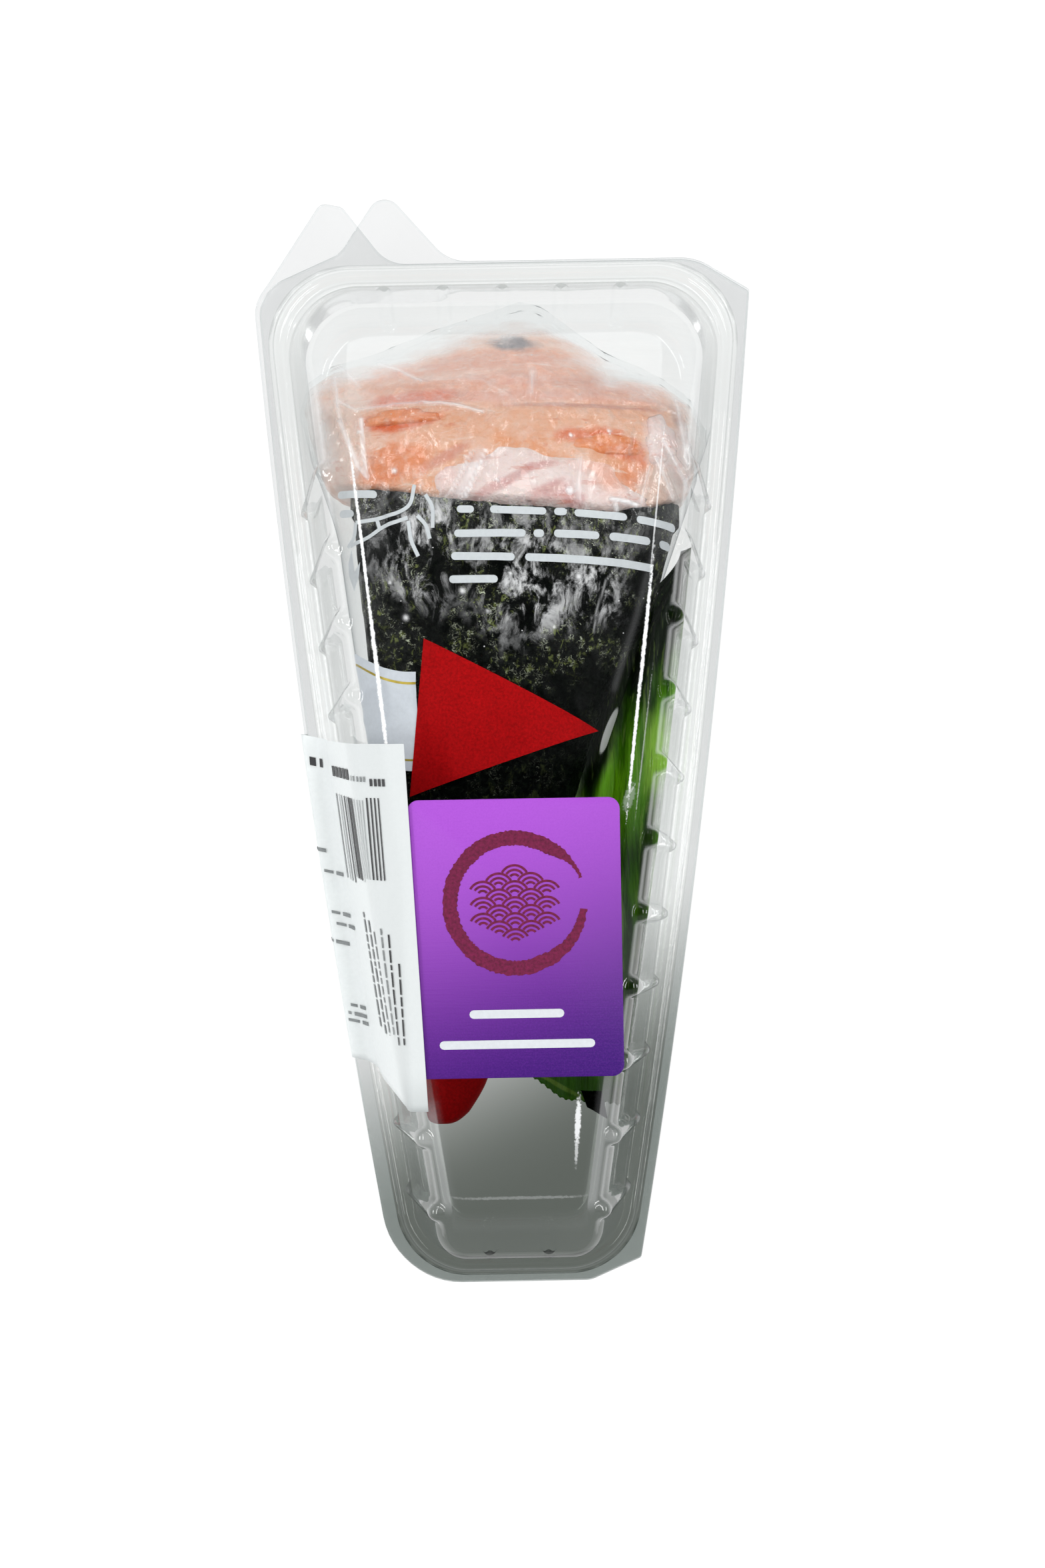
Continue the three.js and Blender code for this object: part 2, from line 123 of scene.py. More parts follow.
def placed(name, data):
    piece = bpy.data.objects.new(name, data)
    scene.collection.objects.link(piece)
    return piece


def add(name, verts, faces, material, slot, nodes=(), smoothed=True, marks=None):
    """A piece from millimetre points, riding on the one body; marks are values per point."""
    data = bpy.data.meshes.new(name)
    data.from_pydata((np.asarray(verts, float) * MM).tolist(), [], faces)
    if marks is not None:
        layer = data.attributes.new("mark", "FLOAT", "POINT")
        layer.data.foreach_set("value", np.asarray(marks, np.float32).ravel())
    data.validate()
    if smoothed:
        data.shade_smooth()
    data.materials.append(material)
    piece = placed(name, data)
    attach(piece, "root")
    if nodes:
        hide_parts(*nodes)
    return piece


def grid_faces(rows, cols, closed=False, start=0):
    """The quads of a grid of points, row by row; closed joins the last column to the first."""
    faces = []
    for r in range(rows - 1):
        for c in range(cols if closed else cols - 1):
            a = start + r * cols + c
            b = start + r * cols + (c + 1) % cols
            faces.append((a, b, b + cols, a + cols))
    return faces


def grid_piece(name, points, closed, caps, *args, **kwargs):
    """A piece from rows of points; caps closes a tube's "first", "last" or "both" ends."""
    rows, cols = points.shape[:2]
    faces = grid_faces(rows, cols, closed)
    if caps in ("first", "both"):
        faces.append(tuple(range(cols))[::-1])
    if caps in ("last", "both"):
        faces.append(tuple(range((rows - 1) * cols, rows * cols)))
    return add(name, points.reshape(-1, 3), faces, *args, **kwargs)


def rounded(corners, counts, arc):
    """A polygon with rounded corners [x, y, radius], split into counts[i] steps after corner i."""
    points = []
    arcs = []
    total = len(corners)
    for i, (x, y, radius) in enumerate(corners):
        corner = np.array([x, y], float)
        before = np.array(corners[i - 1][:2]) - corner
        after = np.array(corners[(i + 1) % total][:2]) - corner
        before /= np.linalg.norm(before)
        after /= np.linalg.norm(after)
        half = math.acos(np.clip(before @ after, -1, 1)) / 2
        middle = before + after
        centre = corner + middle / np.linalg.norm(middle) * radius / math.sin(half)
        reach = radius / math.tan(half)
        start, end = corner + before * reach - centre, corner + after * reach - centre
        a0 = math.atan2(start[1], start[0])
        turn = (math.atan2(end[1], end[0]) - a0 + math.pi) % (2 * math.pi) - math.pi
        angles = a0 + turn * np.linspace(0, 1, arc + 1)
        arcs.append(centre + radius * stacked(np.cos(angles), np.sin(angles)))
    for i in range(total):
        points.append(arcs[i])
        steps = np.linspace(0, 1, counts[i] + 1)[1:-1, None]
        points.append(arcs[i][-1] * (1 - steps) + arcs[(i + 1) % total][0] * steps)
    return np.concatenate(points)


def bowed(outline):
    out = outline.copy()
    out[:, 0] *= 1 + bow(outline[:, 1]) / straight_width(outline[:, 1])
    return out


# the points along a ring's long sides, wide end, narrow end and corners, and a skin's row spacing
STEPS = ((430, 180, 90, 22))
LID_STEP, TRAY_STEP = ((1.0, 0.75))


def pack_ring(side, top, bottom, radius):
    """A ring round the pack, set in from the bead at the sides, the wide end and the narrow end."""
    high, low = BEAD_TOP - top, BEAD_BOTTOM + bottom
    wide, narrow = straight_width(high) - side, straight_width(low) - side
    tight = max(1.0, 0.9 * radius - 0.55 * max(side, 0))
    left = [(-wide, high, radius), (-narrow, low, tight)]
    right = [(narrow, low, tight), (wide, high, radius)]
    sides, wide_end, narrow_end, corner = STEPS
    return bowed(rounded(left + right, (sides, narrow_end, sides, wide_end), corner))


def profile(stations, step):
    """Stations (side, top, bottom, height, radius, fillet) as a smooth run of the first five."""
    knots = np.array([s[:5] for s in stations], float)
    fillets = [s[5] for s in stations]
    out = [knots[0]]
    for i in range(1, len(knots)):
        a, b = knots[i - 1], knots[i]
        length = np.linalg.norm((b - a)[[0, 3]])
        cut_a = min(fillets[i - 1] / length, 0.5) if i > 1 else 0
        cut_b = min(fillets[i] / length, 0.5) if i + 1 < len(knots) else 0
        first, last = a + (b - a) * cut_a, b - (b - a) * cut_b
        for t in np.linspace(0, 1, max(2, int(length * (1 - cut_a - cut_b) / step) + 2)):
            out.append(first * (1 - t) + last * t)
        if i + 1 < len(knots):
            c = knots[i + 1]
            reach = np.linalg.norm((c - b)[[0, 3]])
            end = b + (c - b) * min(fillets[i] / reach, 0.5)
            for t in np.linspace(0, 1, 8)[1:-1]:
                out.append(last * (1 - t) ** 2 + 2 * b * t * (1 - t) + end * t * t)
    keep = [out[0]]
    for row in out[1:]:
        if np.linalg.norm(row - keep[-1]) > 1e-6:
            keep.append(row)
    return np.array(keep)


def outward(ring):
    """The level outward normals of a ring's points, which run anticlockwise seen from above."""
    tangent = np.roll(ring, -1, 0) - np.roll(ring, 1, 0)
    normal = stacked(tangent[:, 1], -tangent[:, 0])
    return normal / np.maximum(np.linalg.norm(normal, axis=1, keepdims=True), 1e-9)


def blurred(field):
    """A field over a shell's grid, softened once along and round it."""
    padded = np.concatenate([field[:1], field, field[-1:]])
    down = (padded[:-2] + 2 * padded[1:-1] + padded[2:]) / 4
    return (np.roll(down, 1, 1) + 2 * down + np.roll(down, -1, 1)) / 4


def shell(stations, direction, step, bars, sag=0.0):
    """One half of the pack as a single skin, from the flange's inner edge to its closed flat.

    bars are the flutes, as round-ended bars (end, end, radius, radius) that push the skin out, and
    sag is how many mm its surface waves up and down.
    """
    rows = []
    for side, top, bottom, height, radius in profile(stations, step):
        ring = pack_ring(side, top, bottom, radius)
        rows.append(np.column_stack([ring, np.full(len(ring), SEAM_Z + direction * height)]))
    points = np.array(rows)
    points[..., 2] += direction * sag * wave(points * [1, 1, 0], 26, 3.0, 2)
    around = np.roll(points, -1, 1) - np.roll(points, 1, 1)
    normals = np.cross(around, np.gradient(points, axis=0)) * direction
    normals /= np.maximum(np.linalg.norm(normals, axis=-1, keepdims=True), 1e-9)
    push = np.zeros(points.shape[:2])
    for a, b, ra, rb in bars:
        near = np.all((points > np.minimum(a, b) - 4) & (points < np.maximum(a, b) + 4), axis=-1)
        p, n, out = points[near], normals[near], np.zeros(near.sum())
        axis = b - a
        for _ in range(10):
            spot = p + n * out[:, None] - a
            t = np.clip(spot @ axis / (axis @ axis), 0, 1)
            gap = np.linalg.norm(spot - t[:, None] * axis, axis=1) - (ra + (rb - ra) * t)
            out += np.maximum(-gap, 0)
        push[near] = np.maximum(push[near], out)
    return points + normals * blurred(push)[..., None]


def side_place(y, side, inset, height):
    """A point by its inset, square to the pack's long edge at y, and height from the seam."""
    inset /= math.hypot(1, TAPER)
    return np.array([side * (half_width(y) - inset), y + TAPER * inset, SEAM_Z + height])


def end_bar(i, end, foot, cap, radii):
    """A flute in the wall of an end, 1 or -1; foot and cap are (inset, height from the seam)."""
    edge = BEAD_TOP if end > 0 else -BEAD_BOTTOM
    x = i * END_FLUTE_PITCH
    return (*(np.array([x, end * (edge - inset), SEAM_Z + z]) for inset, z in (foot, cap)), *radii)


flute_ys = [FLUTE_FIRST_Y - i * FLUTE_PITCH for i in range(FLUTES_A_SIDE)]
lid_bars = [
    (side_place(y, side, 2.2, 2.4), side_place(y, side, 9.2, 25.3), 1.35, 2.15)
    for side in (-1, 1)
    for y in flute_ys
]
lid_bars += [end_bar(i, -1, (2.8, 2.4), (9.9, 24.6), (1.0, 1.1)) for i in (-0.5, 0.5)]
tray_bars = [
    end_bar(i, end, (5.9, -10.4), (3.2, -1.8), (1.6, 1.7))
    for end, places in ((1, (-2, -1, 0, 1, 2)), (-1, (-0.5, 0.5)))
    for i in places
]


def lid_marks(points):
    """Where the lid is painted white as highlights, above 0, and where it mirrors less, down to -1
    for not at all.
    """
    x, y, z = np.moveaxis(points, -1, 0)
    z = z - SEAM_Z
    out = -smooth(z, 28.2, 29.4)  # the flat
    facet = between(z, 26.6, 27.4, 28.6, 29.2)
    # a faint painted reflection on the facet round the flat, near the narrow end
    out = out + 0.16 * facet * smooth(-y, 52, 62) * smooth(y, -87, -84)
    out = out - 0.5 * smooth(-y, 78, 88) * (out == 0) * (z > 20)  # the narrow end's facets
    knee = smooth(z, 23.5, 26) * (x > 20) * between(y, -34, -24, 56, 66)
    out = np.where(out <= 0, np.minimum(out, -0.75 * knee), out)

    def lit(out, shape, white, least):
        """The marks with a shape's white added, where the shape is above least."""
        return np.where(shape > least, np.maximum(out, white * shape), out)

    # painted glints at the foot of each side flute, fainter on the lower ones
    for side, strength, inset, height, spread in (
        (-1, 0.55, 1.5, 3.4, [1.1, 0.8, 1.7]),
        (1, 1.0, 2.6, 5.6, [1.6, 1.0, 2.8]),
    ):
        for i, y_flute in enumerate(flute_ys):
            away = (points - side_place(y_flute, side, inset, height)) / spread
            fade = strength * (1.0 if i < 6 else 0.45)
            out = lit(out, np.exp(-np.sum(away**2, axis=-1)), fade, 0.02)
    # a painted glare on the right wall, in faint stripes
    glare_panel = between(y, -29, -23, -5, 0) * between(z, 0.4, 1.2, 22, 25) * (x > 20)
    out = lit(out, glare_panel, 0.2 * (0.75 + 0.25 * np.sin(z * 1.15 + 0.6)), 0)
    # a painted highlight line along the shoulder at the sides
    crest = np.exp(-(((z - 26.1) / 0.42) ** 2)) * (np.abs(x) > half_width(y) - 12)
    return lit(out, crest * between(y, -92, -86, 66, 76), 0.22, 0.05)


GLARE_LINES = [
    # the light caught along the flat's edges: middle, half-width, half-length, turn and whiteness
    (-27.3, 38.5, 0.28, 17, 5.8, 1),
    (-24.95, 15.5, 0.38, 18.5, 5.8, 1),
    (-28.7, 51, 0.2, 8, 5.4, 0.6),
    (28.1, 46, 0.16, 14, -6.6, 0.5),
    (25.6, 22.5, 0.34, 12.5, -6.8, 1),
    (23.3, 4, 0.3, 12.5, -6.6, 1),
    (25, 1.4, 0.16, 12, -7.6, 0.35),
    (11.2, -69, 0.5, 4.4, -4, 0.7),
    (10.9, -73.5, 0.3, 3.4, -3, 0.4),
    (0.4, -83.1, 13, 0.28, 0, 0.12),
    (22, -8.2, 0.9, 2.4, -18, 0.16),
    (22.3, -7, 0.25, 1.6, -35, 0.35),
]

# side, top and bottom insets, height from the seam, corner radius and fillet
lid_stations = [
    (-2.0, -2.0, -2.0, 0.55, 16.0, 0.3),
    (-1.2, -1.2, -1.2, 0.55, 15.6, 0.35),
    (-0.6, -0.6, -0.6, 1.9, 15.3, 0.5),
    (0.6, 0.6, 0.6, 1.9, 14.7, 0.5),
    (1.3, 1.3, 1.3, 0.55, 14.4, 0.35),
    (2.0, 2.8, 2.0, 0.55, 14.0, 0.5),
    (3.4, 4.6, 3.2, 5.6, 13.3, 2.2),
    (7.9, 17.0, 8.0, 23.6, 11.0, 1.2),
    (9.3, 24.0, 9.8, 26.5, 10.3, 1.5),
    (14.2, 39.0, 21.0, LID_FLAT, 2.2, 2.3),
    (15.8, 40.6, 22.6, LID_FLAT, 2.0, 0.4),
    (17.2, 42.0, 24.0, LID_FLAT, 1.6, 0.3),
]

tray_stations = [
    (-2.0, -2.0, -2.0, 0.55, 16.0, 0.3),
    (-1.0, -1.0, -1.0, 0.55, 15.5, 0.3),
    (-0.4, -0.4, -0.4, 1.5, 15.2, 0.4),
    (0.7, 0.7, 0.7, 1.5, 14.6, 0.4),
    (1.4, 1.4, 1.4, 0.55, 14.3, 0.3),
    (2.7, 2.7, 2.7, 0.55, 13.6, 0.5),
    (3.3, 3.3, 3.3, 3.0, 13.3, 0.8),
    (5.6, 5.6, 5.6, 10.4, 12.2, 1.2),
    (6.9, 6.9, 6.9, 12.0, 11.5, 1.0),
    (9.0, 9.0, 9.0, 12.5, 10.5, 1.0),
]


def flange(tab, low, high):
    """One flange as a plate round the pack's opening, with its pull tab and a cut rim.

    It gives the points, the faces, and the first and last place of the rim's faces among them.
    """

    def left(y):
        return -straight_width(y) - FLANGE_LEFT

    def right(y):
        return straight_width(y) + FLANGE_HINGE

    corners = [
        (left(FLANGE_BOTTOM), FLANGE_BOTTOM, 16),
        (right(FLANGE_BOTTOM) - 10, FLANGE_BOTTOM, 6),
        (right(-103.2), -103.2, 0.9),
        (right(100.8), 100.8, 0.9),
        (right(FLANGE_TOP) - 12, FLANGE_TOP, 12),
        *tab,
    ]
    counts = [14, 6, 60, 6, 60] + [14] * (len(tab) - 1) + [80]
    outer = bowed(rounded(corners, counts, 12))
    rim = outer - outward(outer) * 0.4
    opening = pack_ring(-2.0, -2.0, -2.0, 16.0)[:: 5]
    made = bmesh.new()
    edges = []
    for outline in (rim, opening):
        verts = [made.verts.new((x, y, 0)) for x, y in outline]
        edges += [made.edges.new((verts[i - 1], verts[i])) for i in range(len(verts))]
    bmesh.ops.triangle_fill(made, use_beauty=True, edges=edges)
    made.verts.index_update()
    fill = []
    for face in made.faces:
        face.normal_update()
        order = [v.index for v in face.verts]
        fill.append(order if face.normal.z > 0 else order[::-1])
    made.free()
    n, m = len(rim), len(opening)
    flat = np.concatenate([rim, opening, outer])
    count = len(flat)
    verts = [(x, y, high) for x, y in flat] + [(x, y, low) for x, y in flat]
    faces = [tuple(f) for f in fill] + [tuple(v + count for v in f[::-1]) for f in fill]
    plain_faces = len(faces)
    for i in range(n):
        a, b, c, d = i, (i + 1) % n, n + m + (i + 1) % n, n + m + i
        faces += [(a, d, c, b), (a + count, b + count, c + count, d + count)]
        faces.append((d, d + count, c + count, c))
    for i in range(m):
        a, b = n + i, n + (i + 1) % m
        faces.append((a, b, b + count, a + count))
    return verts, faces, plain_faces, plain_faces + 3 * n


lid_tab = [(-11.2, FLANGE_TOP, 9), (-24.9, 123.4, 3.6), (-34.2, 109.8, 6), (-51.6, 102.2, 8)]
tray_tab = [(-24.2, FLANGE_TOP, 8), (-33.6, 120.1, 2.2), (-38.2, 121.0, 2.2), (-52.4, 99.8, 8)]

# ---- the roll ----


def section(y):
    """The roll's middle x and z and its half-width and half-thickness at y.

    Its left side follows the pack's wall, and its right side slants across until it meets the wall.
    Its rounded tip leans to the left, and its wide end closes from y = 66 and 91 on.
    """
    left = -(half_width(y) - 8.9 + 3.4 * smooth(y, 45, 68))
    right = np.minimum(18.2 + 0.356 * y, half_width(y) - 5.4) - 1.3 * smooth(-y, 52, 64)
    thick = THIN + (THICK - THIN) * np.clip((y + 66) / 111, 0, 1)
    tip = (1 - np.clip((-63.5 - y) / 12.0, 0, 1) ** 4) ** 0.25
    lean = 2.0 * np.clip((-64 - y) / 11, 0, 1) ** 2

    def closing(start):
        return (1 - np.clip((y - start) / (FILLING_TOP + 0.6 - start), 0, 1) ** 1.8) ** 0.8

    return (
        (left + right) / 2 - lean,
        1.2 + thick,
        (right - left) / 2 * tip * closing(91),
        thick * tip * closing(66),
    )


# the outline of the filling's wide end
END_X = [-43, -40.3, -35.1, -25.8, -14.4, -3, 3.5, 7.6, 11.7, 20.8, 28, 32.5, 38.2, 41]
END_Y = [74, 82.8, 85.2, 86.7, 90.3, 93.1, 95.2, 94.5, 91.9, 85.3, 82.7, 80.6, 76.4, 70]


def end_y(x, y, beyond=0.0):
    """Where a place on the roll goes when its wide end is drawn in to its uneven outline."""
    share = (np.interp(x, END_X, END_Y) + beyond - 60) / (FILLING_TOP - 60)
    return np.where(y > 60, 60 + (y - 60) * share, y)


def with_end(points, beyond=0.0):
    out = points.copy()
    out[..., 1] = end_y(points[..., 0], points[..., 1], beyond)
    return out


def mouth_line(x):
    return np.interp(x, [-40, -27, -16, 0, 21, 29, 38], [57, 54.6, 52.4, 50.8, 49.1, 50.2, 53.5])


FOLDS = [
    # height, half-width and whiteness, a painted highlight, of a fold in the film, then the places
    # it runs through
    (0.6, 0.5, 0.5, [(-25.3, 81.5), (-20.6, 78.5), (-16.3, 75.6)]),
    (0.5, 0.6, 0.12, [(-16.3, 75.6), (-10.1, 75.4), (-4.2, 75.1), (2, 70.1)]),
    (0.4, 0.5, 0.35, [(-29.4, 70.8), (-15.9, 70.8)]),
    (0.6, 0.4, 0.6, [(-15.9, 70.8), (-10.1, 70), (-4.3, 68.2)]),
    (0.6, 0.5, 0.5, [(-33.9, 76.2), (-33.4, 72), (-32.8, 68.9)]),
    (0.6, 0.6, 0.6, [(-33, 69), (-29.4, 59.5), (-27.6, 57.1)]),
    (0.6, 0.5, 0.7, [(-28.5, 68.6), (-28.2, 61.9), (-27.6, 57.1)]),
    (0.6, 0.5, 0.4, [(-34.4, 79.4), (-33.6, 73.5), (-29.4, 70.5)]),
    (0.5, 0.6, 0.3, [(-35.5, 84), (-31, 79), (-29, 76)]),
    (0.3, 0.5, 0.7, [(-4, 60.6), (-7.4, 53.4), (-8.2, 51.8)]),
    (0.2, 0.5, 0.5, [(-6.6, 60.6), (-10.8, 53)]),
    (-0.3, 0.3, 0.1, [(-4.4, 60.5), (-0.4, 52.2)]),
    (-0.7, 0.5, 0.05, [(2, 70.2), (15.6, 70.2), (31, 70.8)]),
    (0.5, 0.5, 0.95, [(20.6, 51.3), (23.2, 51), (25.7, 50.5)]),
    (0.5, 0.5, 0.6, [(21.3, 51), (21.6, 49.2)]),
    (0.7, 0.5, 0.5, [(31.4, 63.6), (34.2, 59.1), (37, 55.4)]),
    (0.6, 0.5, 0.35, [(28.5, 58.2), (26.4, 50.3)]),
    (0.6, 0.5, 0.4, [(29.8, 60), (33.5, 53)]),
    (0.7, 0.6, 0.45, [(34.5, 73), (35.5, 66), (36.5, 60)]),
    (0.3, 1.2, 0.35, [(14.4, 58.7), (14.1, 51.5)]),
    (0.4, 0.6, 0.4, [(5.7, 76.9), (5, 71.9)]),
    (0.3, 0.6, 0.2, [(9, 88), (16, 84), (24, 79)]),
    (0.15, 1.7, 0.45, [(-5, 60), (-9, 52.8)]),
    (0.3, 0.9, 0.05, [(30.5, 46), (26, 30), (21.5, 16)]),
    (0.15, 0.2, 0.3, [(24, 41), (19.5, 36), (17.5, 30), (17, 26)]),
]
SPARKS = [
    # x, y and size of the painted glints on the film
    (-22, 57.8, 0.45), (12.4, 52.7, 0.7), (27.2, 85.6, 0.4), (12.8, 63.5, 0.35), (20.4, 64.5, 0.3),
    (-7.7, 59.6, 0.3), (-1.9, 54.9, 0.35), (-9, 34, 0.5), (-20.5, 29.5, 0.45), (-23.5, 36.5, 0.35),
    (0.5, 37, 0.4), (14, 36.5, 0.6), (9, 27, 0.35), (-4, 30, 0.3), (-29, 66, 0.3),
]


def near_fold(x, y, places, width):
    """1 on a fold that runs through some places, falling to 0 beside it and past its ends."""
    out = np.zeros(np.shape(x))
    for (x0, y0), (x1, y1) in zip(places, places[1:]):
        dx, dy = x1 - x0, y1 - y0
        t = np.clip(((x - x0) * dx + (y - y0) * dy) / (dx * dx + dy * dy), 0, 1)
        away = np.hypot(x - x0 - t * dx, y - y0 - t * dy) / width
        out = np.maximum(out, np.exp(-(away**2)))
    return out


def creases(x, y):
    return sum(height * near_fold(x, y, places, width) for height, width, _, places in FOLDS)


def film_marks(points):
    """The painted highlights of the film along its folds and at its sparks, on its upper half."""
    x, y, z = np.moveaxis(points, -1, 0)
    out = np.zeros(x.shape)
    for _, width, white, places in FOLDS:
        out = np.maximum(out, white * near_fold(x, y, places, width * 0.8))
    for sx, sy, size in SPARKS:
        out = np.maximum(out, np.exp(-(((x - sx) ** 2 + (y - sy) ** 2) / size**2)))
    return np.where(z > section(y)[1], out, 0)


def film_ripple(x, y, under=0.0):
    """How far the film's waves stand off the roll; they are loose at the wide end."""
    at = stacked(x, y * 0.7, under + 0 * x)
    ridge = 1 - np.abs(wave(at, 13, 1.0, 3)) * 2.2
    fine = 1 - np.abs(wave(at, 5, 2.0, 2)) * 2.0
    loose = 0.35 + 0.65 * smooth(y, 40, 62)
    return loose * (0.55 * np.maximum(ridge, 0) ** 2 + 0.16 * fine)


def film_wave(x, y):
    """How far the film stands off the roll's upper side at a place, with its creases."""
    return FILM_GAP + film_ripple(x, y) + creases(x, y) * CREASE_RISE


def superellipse(angle):
    c, s = np.cos(angle), np.sin(angle)
    return np.sign(c) * np.abs(c) ** (2 / ROUNDNESS), np.sign(s) * np.abs(s) ** (2 / ROUNDNESS)


def turns(count, above=0.5):
    """Angles round the roll, with the share above of them on its upper half."""
    split = round(count * above)
    upper = np.linspace(0, np.pi, split, endpoint=False)
    return np.concatenate([upper, np.linspace(np.pi, 2 * np.pi, count - split, endpoint=False)])


def tube(ys, count, offset, above=0.5):
    """Rows of points round the roll; offset(x, y, top) is how far each stands off."""
    angle = turns(count, above)
    y = np.repeat(np.asarray(ys, float)[:, None], count, 1)
    cx, cz = superellipse(angle + 0 * y)
    x0, z0, a, b = section(y)
    off = offset(x0 + a * cx, y, cz)
    across, up = np.maximum(a + off, 0.2), np.maximum(b + off, 0.2)
    return stacked(x0 + across * cx, y, z0 + up * cz)


def upper_face(x, y, wider, higher, limit):
    """The height of the roll's upper face at a place, with its section made wider and higher."""
    x0, z0, a, b = section(y)
    t = np.clip(np.abs(x - x0) / (a + wider), 0, limit)
    return z0 + (b + higher) * (1 - t**ROUNDNESS) ** (1 / ROUNDNESS)


def filling_top(x, y):
    return upper_face(x, y, 0, -0.6, 0.995)


# ---- materials ----


def linear(red, green, blue):
    """A screen colour, 0 to 255, as the shader's linear colour."""

    def one(c):
        c /= 255
        return c / 12.92 if c <= 0.04045 else ((c + 0.055) / 1.055) ** 2.4

    return (one(red), one(green), one(blue), 1.0)


class Nodes:
    """A material's node tree, with short calls for the nodes used here."""

    def __init__(self, name):
        self.material = bpy.data.materials.new(name)
        self.material.use_nodes = True
        self.tree = self.material.node_tree
        self.tree.nodes.clear()
        self.out = self.tree.nodes.new("ShaderNodeOutputMaterial")
        self.at = self.new("ShaderNodeTexCoord").outputs["Object"]

    def new(self, kind, **inputs):
        """A node; its inputs are named by socket, or by the socket's number as _0, _1 and so on."""
        node = self.tree.nodes.new(kind)
        for key, value in inputs.items():
            self.set(node, key, value)
        return node

    def set(self, node, key, value):
        socket = node.inputs[int(key[1:])] if key[0] == "_" else node.inputs[key.replace("_", " ")]
        if isinstance(value, bpy.types.NodeSocket):
            self.tree.links.new(value, socket)
        else:
            socket.default_value = value

    def math(self, kind, a, b=0.0, c=0.0, clamp=False):
        node = self.new("ShaderNodeMath", _0=a, _1=b, _2=c)
        node.operation = kind
        node.use_clamp = clamp
        return node.outputs[0]

    def times(self, a, *more):
        for b in more:
            a = self.math("MULTIPLY", a, b)
        return a

    def most(self, a, *more):
        for b in more:
            a = self.math("MAXIMUM", a, b)
        return a

    def xyz(self):
        return self.new("ShaderNodeSeparateXYZ", _0=self.at).outputs

    def scaled(self, x, y, z):
        """The place in millimetres times these factors, for stretched patterns."""
        scale = (x / MM, y / MM, z / MM)
        return self.new("ShaderNodeMapping", Vector=self.at, Scale=scale).outputs[0]

    def noise(self, scale, detail=3.0, rough=0.5, at=None, twist=0.0):
        at = at or self.scaled(1, 1, 1)
        node = self.new("ShaderNodeTexNoise", Vector=at, Scale=scale, Detail=detail)
        self.set(node, "Roughness", rough)
        self.set(node, "Distortion", twist)
        return node.outputs[0]

    def warp(self, amount, *noise):
        """Noise from -amount / 2 to amount / 2, which makes a blob's outline uneven."""
        return self.math("MULTIPLY_ADD", self.noise(*noise), amount, -amount / 2)

    def ramp(self, value, *stops):
        """stops are (position, colour) pairs."""
        node = self.new("ShaderNodeValToRGB", Fac=value)
        elements = node.color_ramp.elements
        while len(elements) < len(stops):
            elements.new(0.5)
        for element, (position, colour) in zip(elements, stops):
            element.position = position
            element.color = colour
        return node.outputs[0]

    def range(self, value, low, high, to_low=0.0, to_high=1.0):
        node = self.new("ShaderNodeMapRange", _0=value, _1=low, _2=high, _3=to_low, _4=to_high)
        node.interpolation_type = "SMOOTHSTEP"
        return node.outputs[0]

    def mix(self, fac, a, b):
        """A mix of two colours."""
        node = self.tree.nodes.new("ShaderNodeMix")
        node.data_type = "RGBA"
        for key, value in ((0, fac), (6, a), (7, b)):
            self.set(node, f"_{key}", value)
        return node.outputs[2]

    def blob(self, x, y, rx, ry, turn=0.0, soft=0.5, warp=None):
        """1 inside a soft-edged ellipse at (x, y) mm, turned by some degrees, and 0 outside."""
        local = self.tree.nodes.new("ShaderNodeMapping")
        local.vector_type = "TEXTURE"
        self.set(local, "Vector", self.at)
        self.set(local, "Location", (x * MM, y * MM, 0))
        self.set(local, "Rotation", (0, 0, math.radians(turn)))
        self.set(local, "Scale", (rx * MM, ry * MM, 1000))
        away = self.new("ShaderNodeVectorMath", _0=local.outputs[0])
        away.operation = "LENGTH"
        away = away.outputs["Value"]
        if warp is not None:
            away = self.math("ADD", away, warp)
        return self.range(away, 1 + soft, 1 - soft)

    def spotted(self, colour, spots, soft, warp):
        """A colour under soft fields: x, y, half-widths, turn, share and screen colour of each."""
        for x, y, rx, ry, turn, share, tone in spots:
            inside = self.times(self.blob(x, y, rx, ry, turn, soft, warp), share)
            colour = self.mix(inside, colour, linear(*tone))
        return colour

    def tinted(self, colour, value, low, high, share, tone):
        """A colour that takes up a share of a screen colour where value goes from low to high."""
        return self.mix(self.range(value, low, high, 0.0, share), colour, linear(*tone))

    def mark(self):
        node = self.tree.nodes.new("ShaderNodeAttribute")
        node.attribute_name = "mark"
        return node.outputs["Fac"]

    def bump(self, height, strength, distance):
        node = self.new("ShaderNodeBump", Height=height, Strength=strength, Distance=distance)
        return node.outputs[0]

    def shader(self, kind, **inputs):
        return self.new("ShaderNodeBsdf" + kind, **inputs).outputs[0]

    def surface(self, colour, bump, rough, **more):
        return self.shader("Principled", Base_Color=colour, Normal=bump, Roughness=rough, **more)

    def mixed(self, fac, a, b):
        """A mix of two shaders."""
        return self.new("ShaderNodeMixShader", _0=fac, _1=a, _2=b).outputs[0]

    def glazed(self, body, bump, rough, ior, strength, limit, share=1.0):
        """A body that mirrors by its angle: Fresnel times strength, up to a limit, times share."""
        gloss = self.shader("Glossy", Roughness=rough, Normal=bump)
        fresnel = self.new("ShaderNodeFresnel", IOR=ior, Normal=bump).outputs[0]
        mirror = self.math("MINIMUM", self.times(fresnel, strength), limit)
        return self.done(self.mixed(self.times(mirror, share), body, gloss))

    def done(self, shader):
        self.tree.links.new(shader, self.out.inputs["Surface"])
        return self.material


